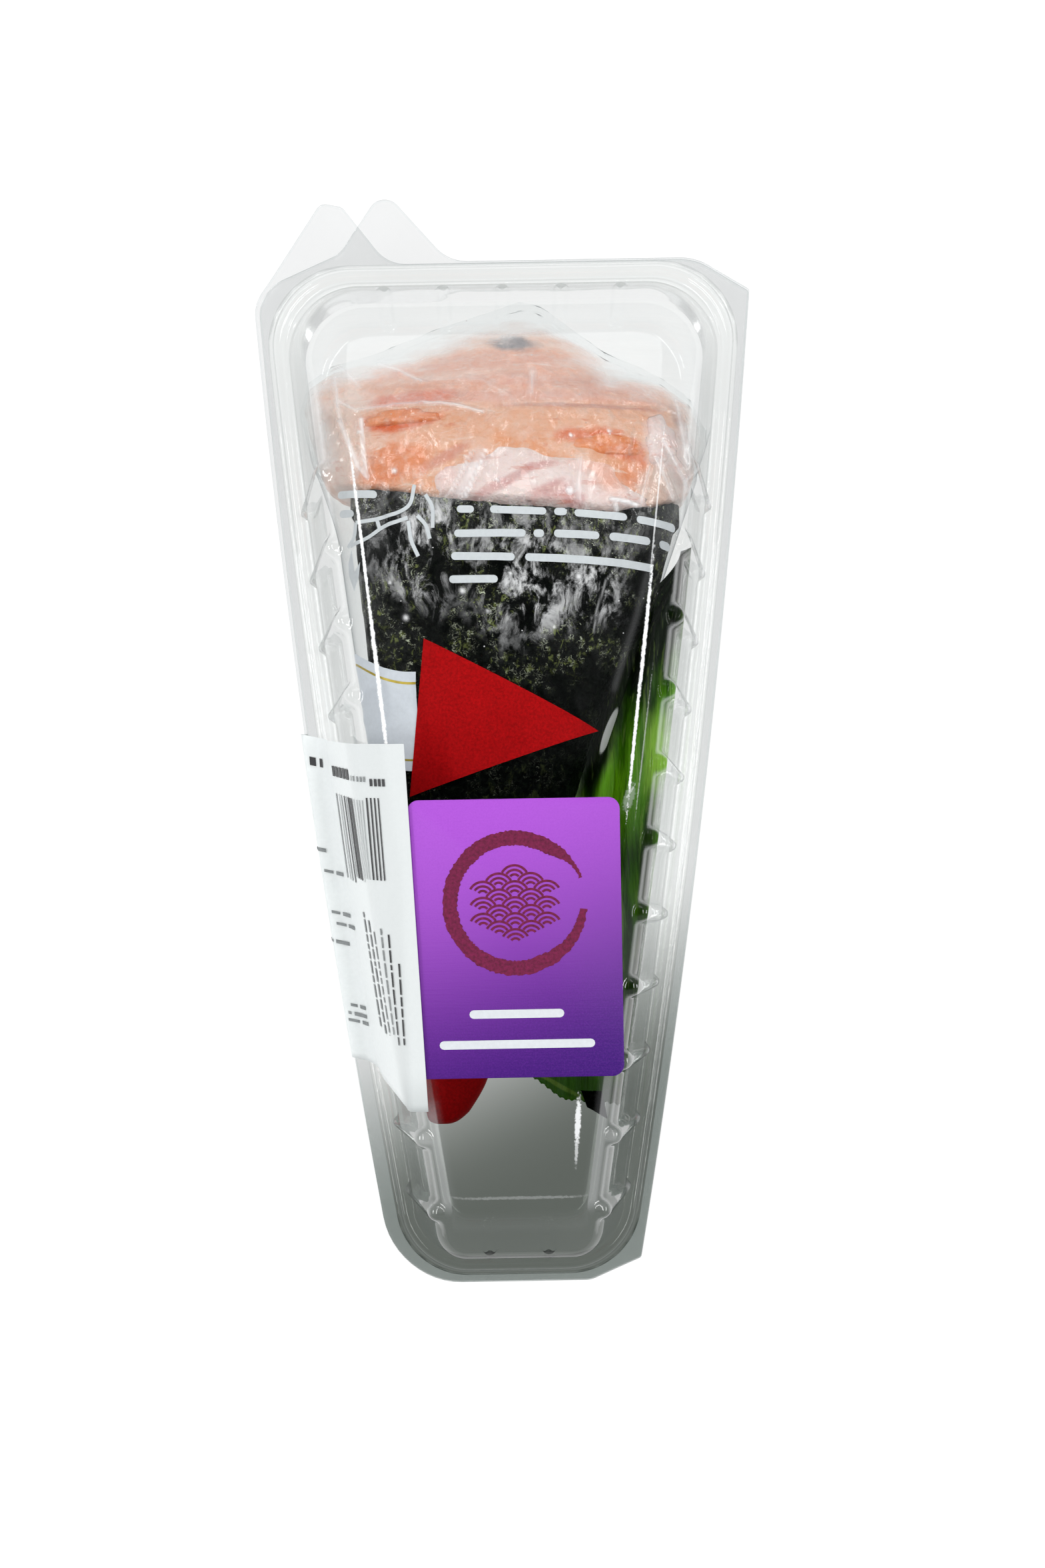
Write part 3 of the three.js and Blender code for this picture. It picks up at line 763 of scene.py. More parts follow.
def clear_plastic(name, rough, tint_low, tint_high, strength=1.5, lid=False):
    """A clear sheet seen as one skin: it lets light through, tinted, and mirrors by its angle.

    The tint runs from tint_low at the narrow end to tint_high; its grey at the narrow end is
    painted shade.
    The lid also has a painted haze of reflected light over its wide end, and the painted highlights
    of its marks and glare lines.
    """
    n = Nodes(name)
    x, y, z = n.xyz()
    slant = n.math("MULTIPLY_ADD", x, -0.47, y)
    # painted shade: the sheet greys towards the narrow end, and a little towards the right
    tint = n.mix(n.range(slant, -0.084, -0.036), (*tint_low, 1), (*tint_high, 1))
    edge = n.new("ShaderNodeLayerWeight", Blend=0.35).outputs["Facing"]
    steep = n.times(n.math("POWER", edge, 2.4), n.range(y, 0.070, 0.090, 0.7, 0.15))
    tint = n.mix(steep, tint, (0.45, 0.48, 0.48, 1))
    bump = n.bump(n.noise(0.09, 2, 0.4), 0.12, 0.0006)
    body = n.shader("Transparent", Color=tint)
    mirror_share = 1.0
    if lid:
        # painted light: a white for the haze of reflected light, in streaks over the wide end, and
        # for the highlights below
        haze_and_glare = n.shader("Diffuse", Color=(0.95, 0.96, 0.96, 1))
        streaks = n.range(n.noise(0.5, 4, 0.6, n.scaled(0.06, 0.9, 0.3)), 0.25, 0.75, 0.75, 1.25)
        where = n.times(n.range(y, 0.064, 0.068, 0.0, 0.11), n.range(z, 0.026, 0.034))
        body = n.mixed(n.times(streaks, where), body, haze_and_glare)
        # painted highlights: the marks and the glare lines along the flat's edges turn the sheet
        # white
        warp = n.warp(2.0, 1.6, 3, 0.7)
        shine = n.most(n.mark(), 0.0)
        flat = n.range(z, 0.0405, 0.0412)
        for *line, white in GLARE_LINES:
            shine = n.most(shine, n.times(n.blob(*line, 0.35, warp), white, flat))
        body = n.mixed(shine, body, haze_and_glare)
        mirror_share = n.math("ADD", n.mark(), 1.0, clamp=True)
    return n.glazed(body, bump, rough, 1.5, strength, 0.5, mirror_share)


# the first tint is painted shade at the narrow end; the flange's and rim's darker tints below are
# painted shade too
NARROW_END_SHADE, CLEAR = (0.37, 0.39, 0.37), (0.93, 0.94, 0.935)
lid_sheet = clear_plastic("clear_lid", 0.05, NARROW_END_SHADE, CLEAR, lid=True)
tray_sheet = clear_plastic("clear_tray", 0.08, NARROW_END_SHADE, CLEAR)
flange_sheet = clear_plastic("clear_flange", 0.08, (0.73, 0.75, 0.74), (0.968, 0.972, 0.972))
rim_sheet = clear_plastic("clear_rim", 0.2, (0.72, 0.74, 0.73), (0.92, 0.93, 0.93), 0.8)

SHEEN_PLACES = [
    # x, y, half-widths and share of the painted sheen where the film clings to the nori
    (4, 36, 10, 9, 1.0),
    (-17, 44, 7, 10, 0.9),
    (16, 35, 6, 6, 0.9),
    (-4, 44, 26, 6, 0.45),
]


def film_material():
    """The clear film: white with painted sheen where it clings to the nori, misted, with painted
    highlights at its folds, glints and right side, and glossy above.
    """
    n = Nodes("clear_film")
    _, y, z = n.xyz()
    edge = n.new("ShaderNodeLayerWeight", Blend=0.4).outputs["Facing"]
    near = n.blob(0, 40, 56, 39, 0, 0.09)
    steep = n.times(n.math("POWER", edge, 3.0), near)
    tint = n.mix(steep, (0.97, 0.975, 0.975, 1), (0.42, 0.44, 0.45, 1))
    patches = n.range(n.noise(0.30, 6, 0.70, n.scaled(1, 0.5, 1), 0.5), 0.46, 0.66)
    warp = n.warp(1.6, 0.12, 4, 0.6)
    # painted sheen: white patches where the film clings to the nori
    where = 0.0
    for *place, share in SHEEN_PLACES:
        where = n.most(where, n.times(n.blob(*place, 0, 0.7, warp), share))
    cling_sheen = n.times(where, patches, n.range(y, 0.008, 0.024, 0.0, 0.8))
    mist = n.range(n.noise(0.16, 5, 0.6, twist=0.8), 0.5, 0.8, 0.0, 0.14)
    mist = n.times(n.range(y, 0.046, 0.056), near, mist)
    # painted glints: small white dots in patches, towards the wide end
    cells = n.new("ShaderNodeTexVoronoi", Vector=n.scaled(1, 1, 1), Scale=0.5).outputs["Distance"]
    glints = n.times(n.range(cells, 0.10, 0.05), n.range(n.noise(0.35, 3, 0.6), 0.52, 0.60))
    glints = n.times(glints, n.range(y, 0.012, 0.030, 0.0, 0.85))
    # a painted reflection: a pale patch on the film's right side
    side_glint = n.range(z, 0.0126, 0.0138, 0.0, 0.42)
    side_glint = n.times(n.blob(20.6, 7.6, 0.95, 4.9, -22, 0.12), side_glint)
    haze_and_glare = n.shader("Diffuse", Color=(0.95, 0.94, 0.95, 1))
    white = n.most(cling_sheen, mist, n.mark(), glints, side_glint)
    body = n.mixed(white, n.shader("Transparent", Color=tint), haze_and_glare)
    bump = n.bump(n.noise(0.35, 4, 0.6), 0.25, 0.0008)
    rough = n.range(y, 0.040, 0.055, 0.32, 0.12)
    strength = n.times(n.range(y, 0.040, 0.055, 0.12, 1.3), near)
    return n.glazed(body, bump, rough, 1.4, strength, n.range(y, 0.040, 0.055, 0.018, 0.16))


def nori_material():
    """Dark pressed seaweed, with thin green patches and pale specks of painted glint, more of them
    towards the mouth.
    """
    n = Nodes("nori")
    grain = n.noise(0.8, 6, 0.72, twist=0.8)
    dark = n.ramp(
        grain,
        (0.3, (0.0008, 0.0010, 0.0010, 1)),
        (0.55, (0.0025, 0.0038, 0.0030, 1)),
        (0.75, (0.013, 0.018, 0.010, 1)),
    )
    mouth = n.math("MULTIPLY_ADD", n.range(n.xyz()[1], 0.006, 0.030), 0.9, 0.1)
    spread = n.times(n.range(n.noise(0.10, 4, 0.6), 0.42, 0.58), mouth)
    # painted glints: pale specks mixed into the nori's colour
    squiggle = n.math("SUBTRACT", n.noise(0.8, 3, 0.6, twist=1.2), 0.5)
    squiggle = n.range(n.math("ABSOLUTE", squiggle), 0.020, 0.008)
    glint_specks = n.times(squiggle, n.range(n.noise(0.5, 3, 0.6), 0.51, 0.58), spread)
    thin = n.range(n.noise(0.8, 5, 0.7, n.scaled(1, 0.7, 1), 0.6), 0.54, 0.66)
    colour = n.mix(n.times(thin, spread), dark, (0.24, 0.28, 0.08, 1))
    colour = n.mix(glint_specks, colour, (0.80, 0.84, 0.62, 1))
    bump = n.bump(n.math("ADD", grain, n.noise(0.32, 4, 0.6)), 1.0, 0.0012)
    gloss = n.math("MULTIPLY_ADD", spread, 0.20, 0.01)
    rough = n.range(grain, 0.3, 0.7, 0.14, 0.4)
    return n.done(n.surface(colour, bump, rough, Specular_IOR_Level=gloss))


PALE, ORANGE, STRONG = (236, 162, 118), (236, 138, 84), (226, 100, 34)
PINK, CREAM, MAUVE, BLUSH = (240, 188, 160), (246, 226, 222), (204, 126, 122), (242, 206, 198)
FLESH_SPOTS = [
    (4, 92, 26, 5, 0, 0.5, PINK),
    (-27.5, 64.8, 2.8, 1.8, 0, 0.8, PALE),
    (0, 76.5, 30, 4, 0, 0.55, ORANGE),
    (-10, 77.5, 14, 1.2, 4, 0.6, PINK),
    (12, 75, 16, 1.4, -3, 0.55, (228, 156, 130)),
    (-23, 60.5, 7.5, 5.5, 10, 0.85, ORANGE),
    (-16, 65.5, 8, 2.6, 5, 0.6, PINK),
    (4, 66.5, 12, 2.6, 0, 0.6, PINK),
    (2, 72, 30, 1.1, 0, 0.6, (224, 150, 124)),
    (-19, 72.6, 8.5, 1.3, 3, 0.85, STRONG),
    (-25, 67.6, 6.4, 1.8, -12, 0.95, STRONG),
    (-17, 67.4, 5, 1.1, 10, 0.6, STRONG),
    (16, 70.2, 15, 0.5, 0, 0.4, MAUVE),
    (-2, 80.5, 26, 2.4, 2, 0.6, ORANGE),
    (14, 64, 4, 1.5, 4, 0.75, STRONG),
    (22.5, 62.2, 6, 2.6, -24, 0.95, STRONG),
    (24.5, 56, 3.6, 4, -20, 0.75, ORANGE),
    (-11, 60.5, 5, 1.3, 28, 0.45, MAUVE),
    (2.6, 84.6, 4.6, 1.7, -6, 0.95, (64, 62, 72)),
    (-31, 76, 5, 2.4, -35, 0.5, ORANGE),
    (35.2, 69.4, 1.6, 2.8, 20, 0.85, (168, 92, 52)),
    (31, 63, 3.2, 5, 0, 0.85, CREAM),
    (35.5, 60, 3.2, 10, 0, 0.85, CREAM),
    (-32, 62, 2.6, 8, 0, 0.6, CREAM),
    (-32, 69, 5, 12, 0, 0.8, (244, 218, 204)),
    (-26.5, 64.6, 4.4, 1.5, 0, 0.7, (240, 202, 182)),
    (31, 54, 5, 4, 0, 0.6, (226, 206, 196)),
]
CHEESE_SPOTS = [
    (4, 57, 19, 7.5, 0, 0.8, CREAM),
    (-13, 54.5, 6, 4.5, 0, 0.6, BLUSH),
    (20, 58, 6, 5, 0, 0.55, ORANGE),
    (-0.5, 54.6, 7, 1, 26, 0.55, MAUVE),
    (6, 57.6, 3.4, 0.8, 10, 0.5, MAUVE),
    (9, 52.8, 4.6, 2, 10, 0.65, MAUVE),
    (13.5, 51.2, 2.6, 1.5, 0, 0.7, MAUVE),
    (-12, 58.6, 4.6, 1.1, 26, 0.5, MAUVE),
]
LEAF_SPOTS = [
    (31, 36, 8, 22, -6, 0.95, (8, 22, 6)),
    (20, 13, 6, 17, -22, 0.95, (8, 22, 4)),
    (17.6, 1.5, 3.2, 10.5, -27, 0.95, (12, 28, 8)),
    (26, -3, 3, 13, -8, 0.75, (84, 146, 10)),
    (21.6, -5.5, 2.6, 7.5, -8, 0.95, (104, 172, 10)),
    (31.5, 4, 2.8, 9, -8, 0.9, (150, 204, 70)),
    (28.5, -18, 1, 12, -6, 0.85, (40, 64, 22)),
    (26.8, -46, 2.6, 14, -6, 0.8, (46, 76, 24)),
    (14, -68, 14, 3.2, -10, 0.75, (56, 104, 26)),
    (9, -67.6, 6.5, 0.5, -27, 0.85, (124, 160, 62)),
]


def flesh(name, low, high, spots=(), fading=False):
    """Moist fish or cheese: soft clouds between two tones, with fields of colour over them."""
    n = Nodes(name)
    clouds = n.noise(0.09, 5, 0.62, n.scaled(1, 1.7, 1), 0.8)
    colour = n.ramp(clouds, (0.35, linear(*low)), (0.65, linear(*high)))
    colour = n.spotted(colour, spots, 0.45, n.warp(1.9, 0.16, 4, 0.65))
    fine = n.noise(0.5, 5, 0.65)
    colour = n.tinted(colour, fine, 0.4, 0.75, 0.3, (246, 226, 216))
    grain = n.noise(0.45, 5, 0.7, n.scaled(0.3, 1.5, 1), 0.6)
    colour = n.tinted(colour, grain, 0.44, 0.30, 0.45, (212, 104, 62))
    colour = n.tinted(colour, grain, 0.56, 0.72, 0.6, (248, 222, 206))
    relief = n.math("ADD", n.noise(0.25, 4, 0.6), n.times(fine, 0.35))
    body = n.surface(
        colour,
        n.bump(relief, 0.6, 0.0013),
        0.3,
        Subsurface_Weight=0.15,
        Subsurface_Radius=(0.004, 0.002, 0.0015),
        Subsurface_Scale=0.3,
        Coat_Weight=0.3,
        Coat_Roughness=0.1,
    )
    return n.done(n.mixed(n.mark(), body, n.shader("Transparent")) if fading else body)


def leaf_material():
    n = Nodes("leaf")
    colour = n.ramp(
        n.noise(0.22, 4, 0.55, n.scaled(1, 0.12, 1), 0.3),
        (0.36, linear(12, 40, 4)),
        (0.46, linear(54, 108, 6)),
        (0.56, linear(84, 146, 12)),
        (0.68, linear(140, 196, 60)),
    )
    warp = n.warp(1.2, 0.2, 3, 0.6, n.scaled(1, 0.3, 1))
    colour = n.spotted(colour, LEAF_SPOTS, 0.4, warp)
    thin = n.noise(1.1, 3, 0.6, n.scaled(1, 0.03, 1))
    colour = n.tinted(colour, thin, 0.46, 0.36, 0.35, (14, 32, 8))
    colour = n.tinted(colour, thin, 0.58, 0.66, 0.2, (178, 212, 110))
    veins = n.noise(1.2, 3, 0.5, n.scaled(1, 0.10, 1))
    body = n.surface(
        colour,
        n.bump(veins, 0.6, 0.0007),
        0.4,
        Specular_IOR_Level=0.15,
        Subsurface_Weight=0.1,
        Subsurface_Radius=(0.001, 0.002, 0.0005),
    )
    return n.done(body)


def plain(name, colour, rough, metallic=0.0, grain=0.04, scale=1.2, sheen=0.5):
    """A printed surface: one colour with a faint grain in colour and relief."""
    n = Nodes(name)
    speck = n.noise(scale, 4, 0.6)
    tones = linear(*colour)[:3]
    darker, lighter = (
        (*(min(1, c * (1 + 2 * change)) for c in tones), 1) for change in (-grain, grain)
    )
    shade = n.ramp(speck, (0.3, darker), (0.7, lighter))
    bump = n.bump(speck, 0.15, 0.0002)
    return n.done(n.surface(shade, bump, rough, Metallic=metallic, Specular_IOR_Level=sheen))


def paper_material():
    n = Nodes("label_paper")
    _, y, z = n.xyz()
    # painted light and shade: the paper is lighter on the wall and flange than on the lid, and
    # darker on the lid towards the narrow end
    top = n.mix(n.range(y, -0.058, -0.067), linear(210, 214, 213), linear(190, 195, 194))
    colour = n.mix(n.range(z, 0.034, 0.042), linear(229, 233, 232), top)
    speck = n.noise(1.2, 4, 0.6)
    colour = n.tinted(colour, speck, 0.3, 0.7, 0.12, (196, 200, 200))
    return n.done(n.surface(colour, n.bump(speck, 0.15, 0.0002), 0.6))


def sticker_material():
    n = Nodes("sticker_purple")
    x, y, _ = n.xyz()
    # painted light: the purple goes from lit at the top left to shaded at the bottom right, a
    # painted sheen and falloff
    down = n.range(n.math("MULTIPLY_ADD", x, -0.3, y), -0.066, -0.004)
    shade = n.mix(down, linear(52, 0, 106), linear(166, 78, 202))
    speck = n.noise(3.0, 3, 0.7)
    shade = n.tinted(shade, speck, 0.35, 0.75, 0.2, (124, 44, 172))
    relief = n.math("ADD", n.noise(2.2, 3, 0.6, n.scaled(0.05, 1, 1)), n.times(speck, 0.5))
    return n.done(n.surface(shade, n.bump(relief, 0.35, 0.00015), 0.5, Specular_IOR_Level=0.25))


nori_skin = nori_material()
film = film_material()
salmon_skin = flesh("salmon_flesh", PALE, PINK, FLESH_SPOTS, fading=True)
strip_skin = flesh("salmon_deep", (226, 120, 60), (240, 150, 92))
cheese_skin = flesh("cream_cheese", BLUSH, CREAM, CHEESE_SPOTS)
leaf_skin = leaf_material()
sticker_skin = sticker_material()
paper = paper_material()
red_print = plain("print_red", (166, 8, 12), 0.55, grain=0.14, scale=2.0, sheen=0.05)
silver_print = plain("print_silver", (212, 217, 224), 0.5, grain=0.02, sheen=0.2)
gold_print = plain("print_gold", (168, 146, 40), 0.35, 0.3)
white_print = plain("print_white", (206, 210, 213), 0.5, grain=0.02, sheen=0.2)
maroon_print = plain("print_maroon", (104, 20, 58), 0.5, grain=0.2, scale=1.6, sheen=0.2)
ink = plain("print_black", (34, 34, 36), 0.5, grain=0.1)
grey_ink = plain("print_grey", (126, 130, 130), 0.5, grain=0.1)

# ---- the clear pack ----

lid_points = shell(lid_stations, 1, LID_STEP, lid_bars, sag=0.07)
looks = (lid_sheet, "clear_plastic", ["clamshell"])
grid_piece("pack_lid", lid_points, True, "last", *looks, marks=lid_marks(lid_points))
tray_points = shell(tray_stations, -1, TRAY_STEP, tray_bars)
grid_piece("pack_tray", tray_points, True, "last", tray_sheet, "clear_plastic")
for name, tab, low in (("lid_flange", lid_tab, 0.2), ("tray_flange", tray_tab, -0.55)):
    verts, faces, first, last = flange(tab, SEAM_Z + low, SEAM_Z + low + FLANGE_THICKNESS)
    plate = add(name, verts, faces, flange_sheet, "clear_plastic", smoothed=False)
    plate.data.materials.append(rim_sheet)
    for face in plate.data.polygons[first:last]:
        face.material_index = 1

# ---- the filling, the nori and the film ----


def under_nori(x, y):
    """1 where the filling is hidden under the nori, and 0 past the nori's mouth."""
    return 1 - smooth(y, mouth_line(x) - 0.8, mouth_line(x) + 1.6)


def filling_lump(x, y, top):
    at = stacked(x, y * 1.3, top * 12)
    groove = np.exp(-(((end_y(x, y) - 70.4 - 0.01 * x) / 0.6) ** 2))
    groove = groove * smooth(x, -4, 2) * smooth(-x, -31, -26)
    lumps = 0.55 * wave(at, 15, 5.0, 3) + 0.16 * wave(at, 3.2, 6.0, 2)
    x0, _, a, _ = section(y)
    left = smooth((x0 - x) / np.maximum(a, 1), 0.5, 0.9)
    return lumps - 0.6 - 0.8 * groove * (top > 0) - (2.2 + 2.8 * left) * under_nori(x, y)


def faded(points):
    """How far the filling fades into the misted film, at its wide end and its sides."""
    x, y = points[..., 0], points[..., 1]
    x0, _, a, _ = section(y)
    rough = wave(points * [1, 2.2, 0], 14, 7.0, 4, 0.7)
    end = smooth(y - np.interp(x, END_X, END_Y) + 3.0 * rough, -12.5, -1)
    end = np.minimum(1.08 * end, 1)
    sides = smooth(np.abs(x - x0) / np.maximum(a, 1) + 0.05 * rough, 0.82, 0.97) * smooth(y, 56, 62)
    return np.maximum(end, 0.85 * sides)


COLS = 220
filling_rows = spaced((44, 92, 94), (92.5, 97.6, 18))
mass = with_end(tube(filling_rows, COLS, filling_lump))
looks = (salmon_skin, "salmon", ["salmon"])
grid_piece("salmon_filling", mass, True, "both", *looks, marks=faded(mass))


def nori_lump(x, y, top):
    at = stacked(x, y, top * 12)
    return 0.30 * wave(at, 7, 8.0, 4, 0.7)


nori = tube(spaced((-75.2, -65, 14), (-64, NORI_MOUTH, 170)), COLS, nori_lump)
nori[..., 1] += (mouth_line(nori[..., 0]) - NORI_MOUTH) * smooth(nori[..., 1], 25, 50)
along = nori[..., 1]
inward = section(along)[0] - nori[..., 0]
drawn_left = 0.075 * smooth(along, -10, 15) * (inward > 0)
drawn_right = 0.12 * smooth(-along, -34, -12) * (inward < 0)
nori[..., 0] += (drawn_left + drawn_right) * inward
angle = np.linspace(0, 2 * np.pi, COLS, endpoint=False)
nori[-1, :, 1] += 0.5 * np.sin(3 * angle) + 0.35 * wave(nori[-1], 4, 9.0, 3)
lip = nori[-1].copy()
lip[:, 2] -= 0.5 * np.sign(np.sin(angle)) * np.abs(np.sin(angle)) ** 0.5
nori = np.concatenate([nori, lip[None] - [0, 0.1, 0], lip[None] - [0, 3, 0]])
grid_piece("nori_wrap", nori, True, "first", nori_skin, "nori", ["nori_cone"])


def film_off(x, y, top):
    """How far the film stands off the roll all round; it lies calm at the roll's sides."""
    folds = np.where(top > 0, creases(x, end_y(x, y, FILM_BEYOND)), 0)
    ripple = film_ripple(x, y, np.where(top > 0, 0.0, 40.0))
    return FILM_GAP + smooth(np.abs(top), 0.25, 0.7) * ripple + folds * CREASE_RISE


film_rows = spaced((-75.4, -65, 16), (-64, 20, 80), (20.3, 98, 214))
film_cols = 310
skin = with_end(tube(film_rows, film_cols, film_off, above=0.76), beyond=FILM_BEYOND)
grid_piece("film_sleeve", skin, True, "both", film, "film", ["wrapper"], marks=film_marks(skin))


def lump(name, x, y, rx, ry, rise, sink, rough, seed, *looks):
    """A closed soft piece lying in the filling's upper face: domed, with its edge sunk in.

    looks are its material, slot and nodes; the slot is not used.
    """
    rows, cols = 26, 64
    radial = np.linspace(0, 1, rows)[:, None]
    turn = np.linspace(0, 2 * np.pi, cols, endpoint=False)[None]
    wobble = 1 + 0.12 * np.sin(3 * turn + seed) + 0.07 * np.sin(7 * turn + 2 * seed)
    px = x + rx * radial * np.cos(turn) * wobble
    py = y + ry * radial * np.sin(turn) * wobble
    flat = stacked(px, py, np.zeros_like(px))
    relief = rough * wave(flat, 6, seed, 3) * (1 - radial**4)
    ground = filling_top(px, py)
    top = ground + rise * (1 - radial**3) - sink * radial**8 + relief
    top = top - 2.6 * under_nori(px, py)
    low = np.minimum(ground - sink - 2 * (1 - radial**2), top - 0.05 * (1 - radial**8))
    upper, lower = stacked(px, py, top), stacked(px, py, low)
    grid_piece(name, np.concatenate([upper, lower[::-1]]), True, "both", *looks)


LUMPS = [
    # name and node, then the middle, half-widths, rise, sink and roughness
    ("cheese_front", "cream_cheese", 4.2, 51, 21, 11.6, 1, 0.6, 0.5),
    ("cheese_side", "cream_cheese_side", 31, 64, 3.4, 5, 0.6, 0.6, 0.4),
    ("salmon_left", "salmon_strip_left", -20.6, 68.6, 7.8, 1.7, 0.4, 0.7, 0.3),
    ("salmon_right", "salmon_strip_right", 20.3, 62.4, 8.2, 2.3, 0.4, 0.8, 0.3),
]
for seed, (name, node, *shape) in enumerate(LUMPS, 1):
    cheese = name.startswith("cheese")
    skin, slot = (cheese_skin, "cream_cheese") if cheese else (strip_skin, "salmon_deep")
    lump(name, *shape, float(seed), skin, slot, [node])

# ---- the leaf and the nori's trimmed end ----


def leaf_points():
    across = np.linspace(0, 1, 60)[None]
    along = np.linspace(0, 1, 150)[:, None]
    foot = -65.2 - 6.0 * smooth(across, -0.1, 0.5)
    y = 46 + (foot - 46) * along
    tooth = 1.1 * np.abs((across * 15) % 1 - 0.5)
    y = y + np.where(along > 0.999, tooth, 0)
    x0, _, a, _ = section(y)
    wide = smooth(along, 0, 0.14)
    right = half_width(y) - 4.4 - along
    left = (right - 1.8) * (1 - wide) + (x0 + 0.74 * a + 1.6) * wide
    left = left + (2.0 - left) * smooth(along, 0.6, 0.96)
    low = 12 * (1 - wide) + 2.3 * wide
    high = 15 * (1 - along) + 12.6 * along
    waves = 0.35 * np.sin(along * 19 + across * 5) + 0.3 * np.cos(across * 6 * np.pi)
    folds = 0.5 * np.sin(across * 21 + 2 * np.sin(along * 6)) * (1 - 0.3 * along)
    z = low + (high - low) * across**1.25 + (waves + folds) * wide
    return stacked(left + (right - left) * across, y, z)


upper = leaf_points()
lower = upper - [0, 0, 0.4]
rows, cols = upper.shape[:2]
leaf_verts = np.concatenate([upper.reshape(-1, 3), lower.reshape(-1, 3)])
leaf_faces = grid_faces(rows, cols) + [f[::-1] for f in grid_faces(rows, cols, start=rows * cols)]
rim = [r * cols for r in range(rows)] + [(rows - 1) * cols + c for c in range(1, cols)]
rim += [r * cols + cols - 1 for r in range(rows - 2, -1, -1)] + list(range(cols - 2, 0, -1))
for i, a in enumerate(rim):
    b = rim[(i + 1) % len(rim)]
    leaf_faces.append((a, b, b + rows * cols, a + rows * cols))
add("green_leaf", leaf_verts, leaf_faces, leaf_skin, "leaf", ["leaf"])


def scrap_points():
    """An uneven four-sided scrap of nori, a little wavy, on the leaf's end."""
    s, t = np.linspace(0, 1, 22)[None, :, None], np.linspace(0, 1, 22)[:, None, None]
    a, b, c, d = np.array([(13.5, -67.5), (18.0, -67.9), (19.0, -73.6), (14.7, -71.0)])
    flat = (1 - t) * ((1 - s) * a + s * b) + t * ((1 - s) * d + s * c)
    z = 15.0 + 0.3 * np.sin(6 * s + 3 * t) - 0.6 * s
    return np.concatenate([flat, z + 0 * flat[..., :1]], -1)


upper = scrap_points()
both = np.concatenate([upper, (upper - [0, 0, 0.5])[::-1]])
grid_piece("nori_end", both, False, None, nori_skin, "nori", ["nori_scrap"])

# ---- printed shapes ----


def printed(name, shapes, place, material, slot, cell=1.2):
    """Flat outlines laid on a surface by place(u, v) -> points.

    They are cut into cells of some mm, so that they bend with the surface.
    """
    made = bmesh.new()
    for shape in shapes:
        verts = [made.verts.new((u, v, 0)) for u, v in shape]
        made.faces.new(verts)
    flat = np.array([v.co for v in made.verts])
    for axis, normal in enumerate((Vector((1, 0, 0)), Vector((0, 1, 0)))):
        for at in np.arange(flat[:, axis].min() + cell, flat[:, axis].max(), cell):
            geom = made.verts[:] + made.edges[:] + made.faces[:]
            bmesh.ops.bisect_plane(made, geom=geom, plane_co=normal * at, plane_no=normal)
    bmesh.ops.recalc_face_normals(made, faces=made.faces)
    made.verts.index_update()
    flat = np.array([v.co for v in made.verts])
    faces = [tuple(v.index for v in f.verts) for f in made.faces]
    made.free()
    return add(name, place(flat[:, 0], flat[:, 1]), faces, material, slot)


def on_film(x, y):
    off = film_wave(x, y)
    return stacked(x, y, upper_face(x, y, off, off, 0.999) + PRINT_LIFT)


def stroke(points, width):
    """A pen line through points, as one outline."""
    points = np.array(points, float)
    tangent = np.gradient(points, axis=0)
    tangent /= np.linalg.norm(tangent, axis=1, keepdims=True)
    normal = stacked(-tangent[:, 1], tangent[:, 0]) * width / 2
    return np.concatenate([points + normal, (points - normal)[::-1]])


def curve(points):
    """A smooth line through a few points, with eight steps from each to the next."""
    points = [np.array(p, float) for p in points]
    padded = [2 * points[0] - points[1], *points, 2 * points[-1] - points[-2]]
    out = []
    for a, b, c, d in zip(padded, padded[1:], padded[2:], padded[3:]):
        for t in np.linspace(0, 1, 8, endpoint=False):
            bend = (2 * a - 5 * b + 4 * c - d) * t**2 + (3 * b - a - 3 * c + d) * t**3
            out.append(0.5 * (2 * b + (c - a) * t + bend))
    out.append(points[-1])
    return out


def arc(x, y, radius, angles):
    return stacked(x + radius * np.cos(angles), y + radius * np.sin(angles))


def pill(x0, x1, y, height, slope=0.0):
    """A plain bar with rounded ends, in place of a word."""
    r = height / 2
    turn = np.linspace(-math.pi / 2, math.pi / 2, 7)
    out = np.concatenate([arc(x1 - r, y, r, turn), arc(x0 + r, y, r, turn + math.pi)])
    out[:, 1] += slope * (out[:, 0] - x0)
    return out


printed("print_triangle", [[(-17.0, 25.3), (-20.9, -5.7), (18.2, 7.2)]], on_film, red_print, "film")

WORD_ROWS = [
    # a row's start, its words as (from, to) in mm along it, and its slope
    ((-9.8, 49.4), [(0, 3.4), (6.5, 17.5), (19, 21.5), (23, 33.5), (35.5, 44)], -0.045),
    ((-10.4, 44.7), [(0, 14), (15.5, 17.6), (19.5, 28.5), (30.5, 39), (41, 43.6)], -0.02),
    ((-11.1, 40.5), [(0, 12.5), (14.5, 40.5)], -0.035),
    ((-11.6, 36.2), [(0, 9.6)], -0.02),
    ((-34.0, 55.0), [(0, 8.4)], -0.17),
    ((-33.8, 51.4), [(0, 3.2)], -0.2),
]
dashes = []
for (x, y), spans, slope in WORD_ROWS:
    for start, end in spans:
        dashes.append(pill(x + start, x + end, y + slope * start, 1.45, slope))
printed("print_words", dashes, on_film, white_print, "film", cell=1.5)

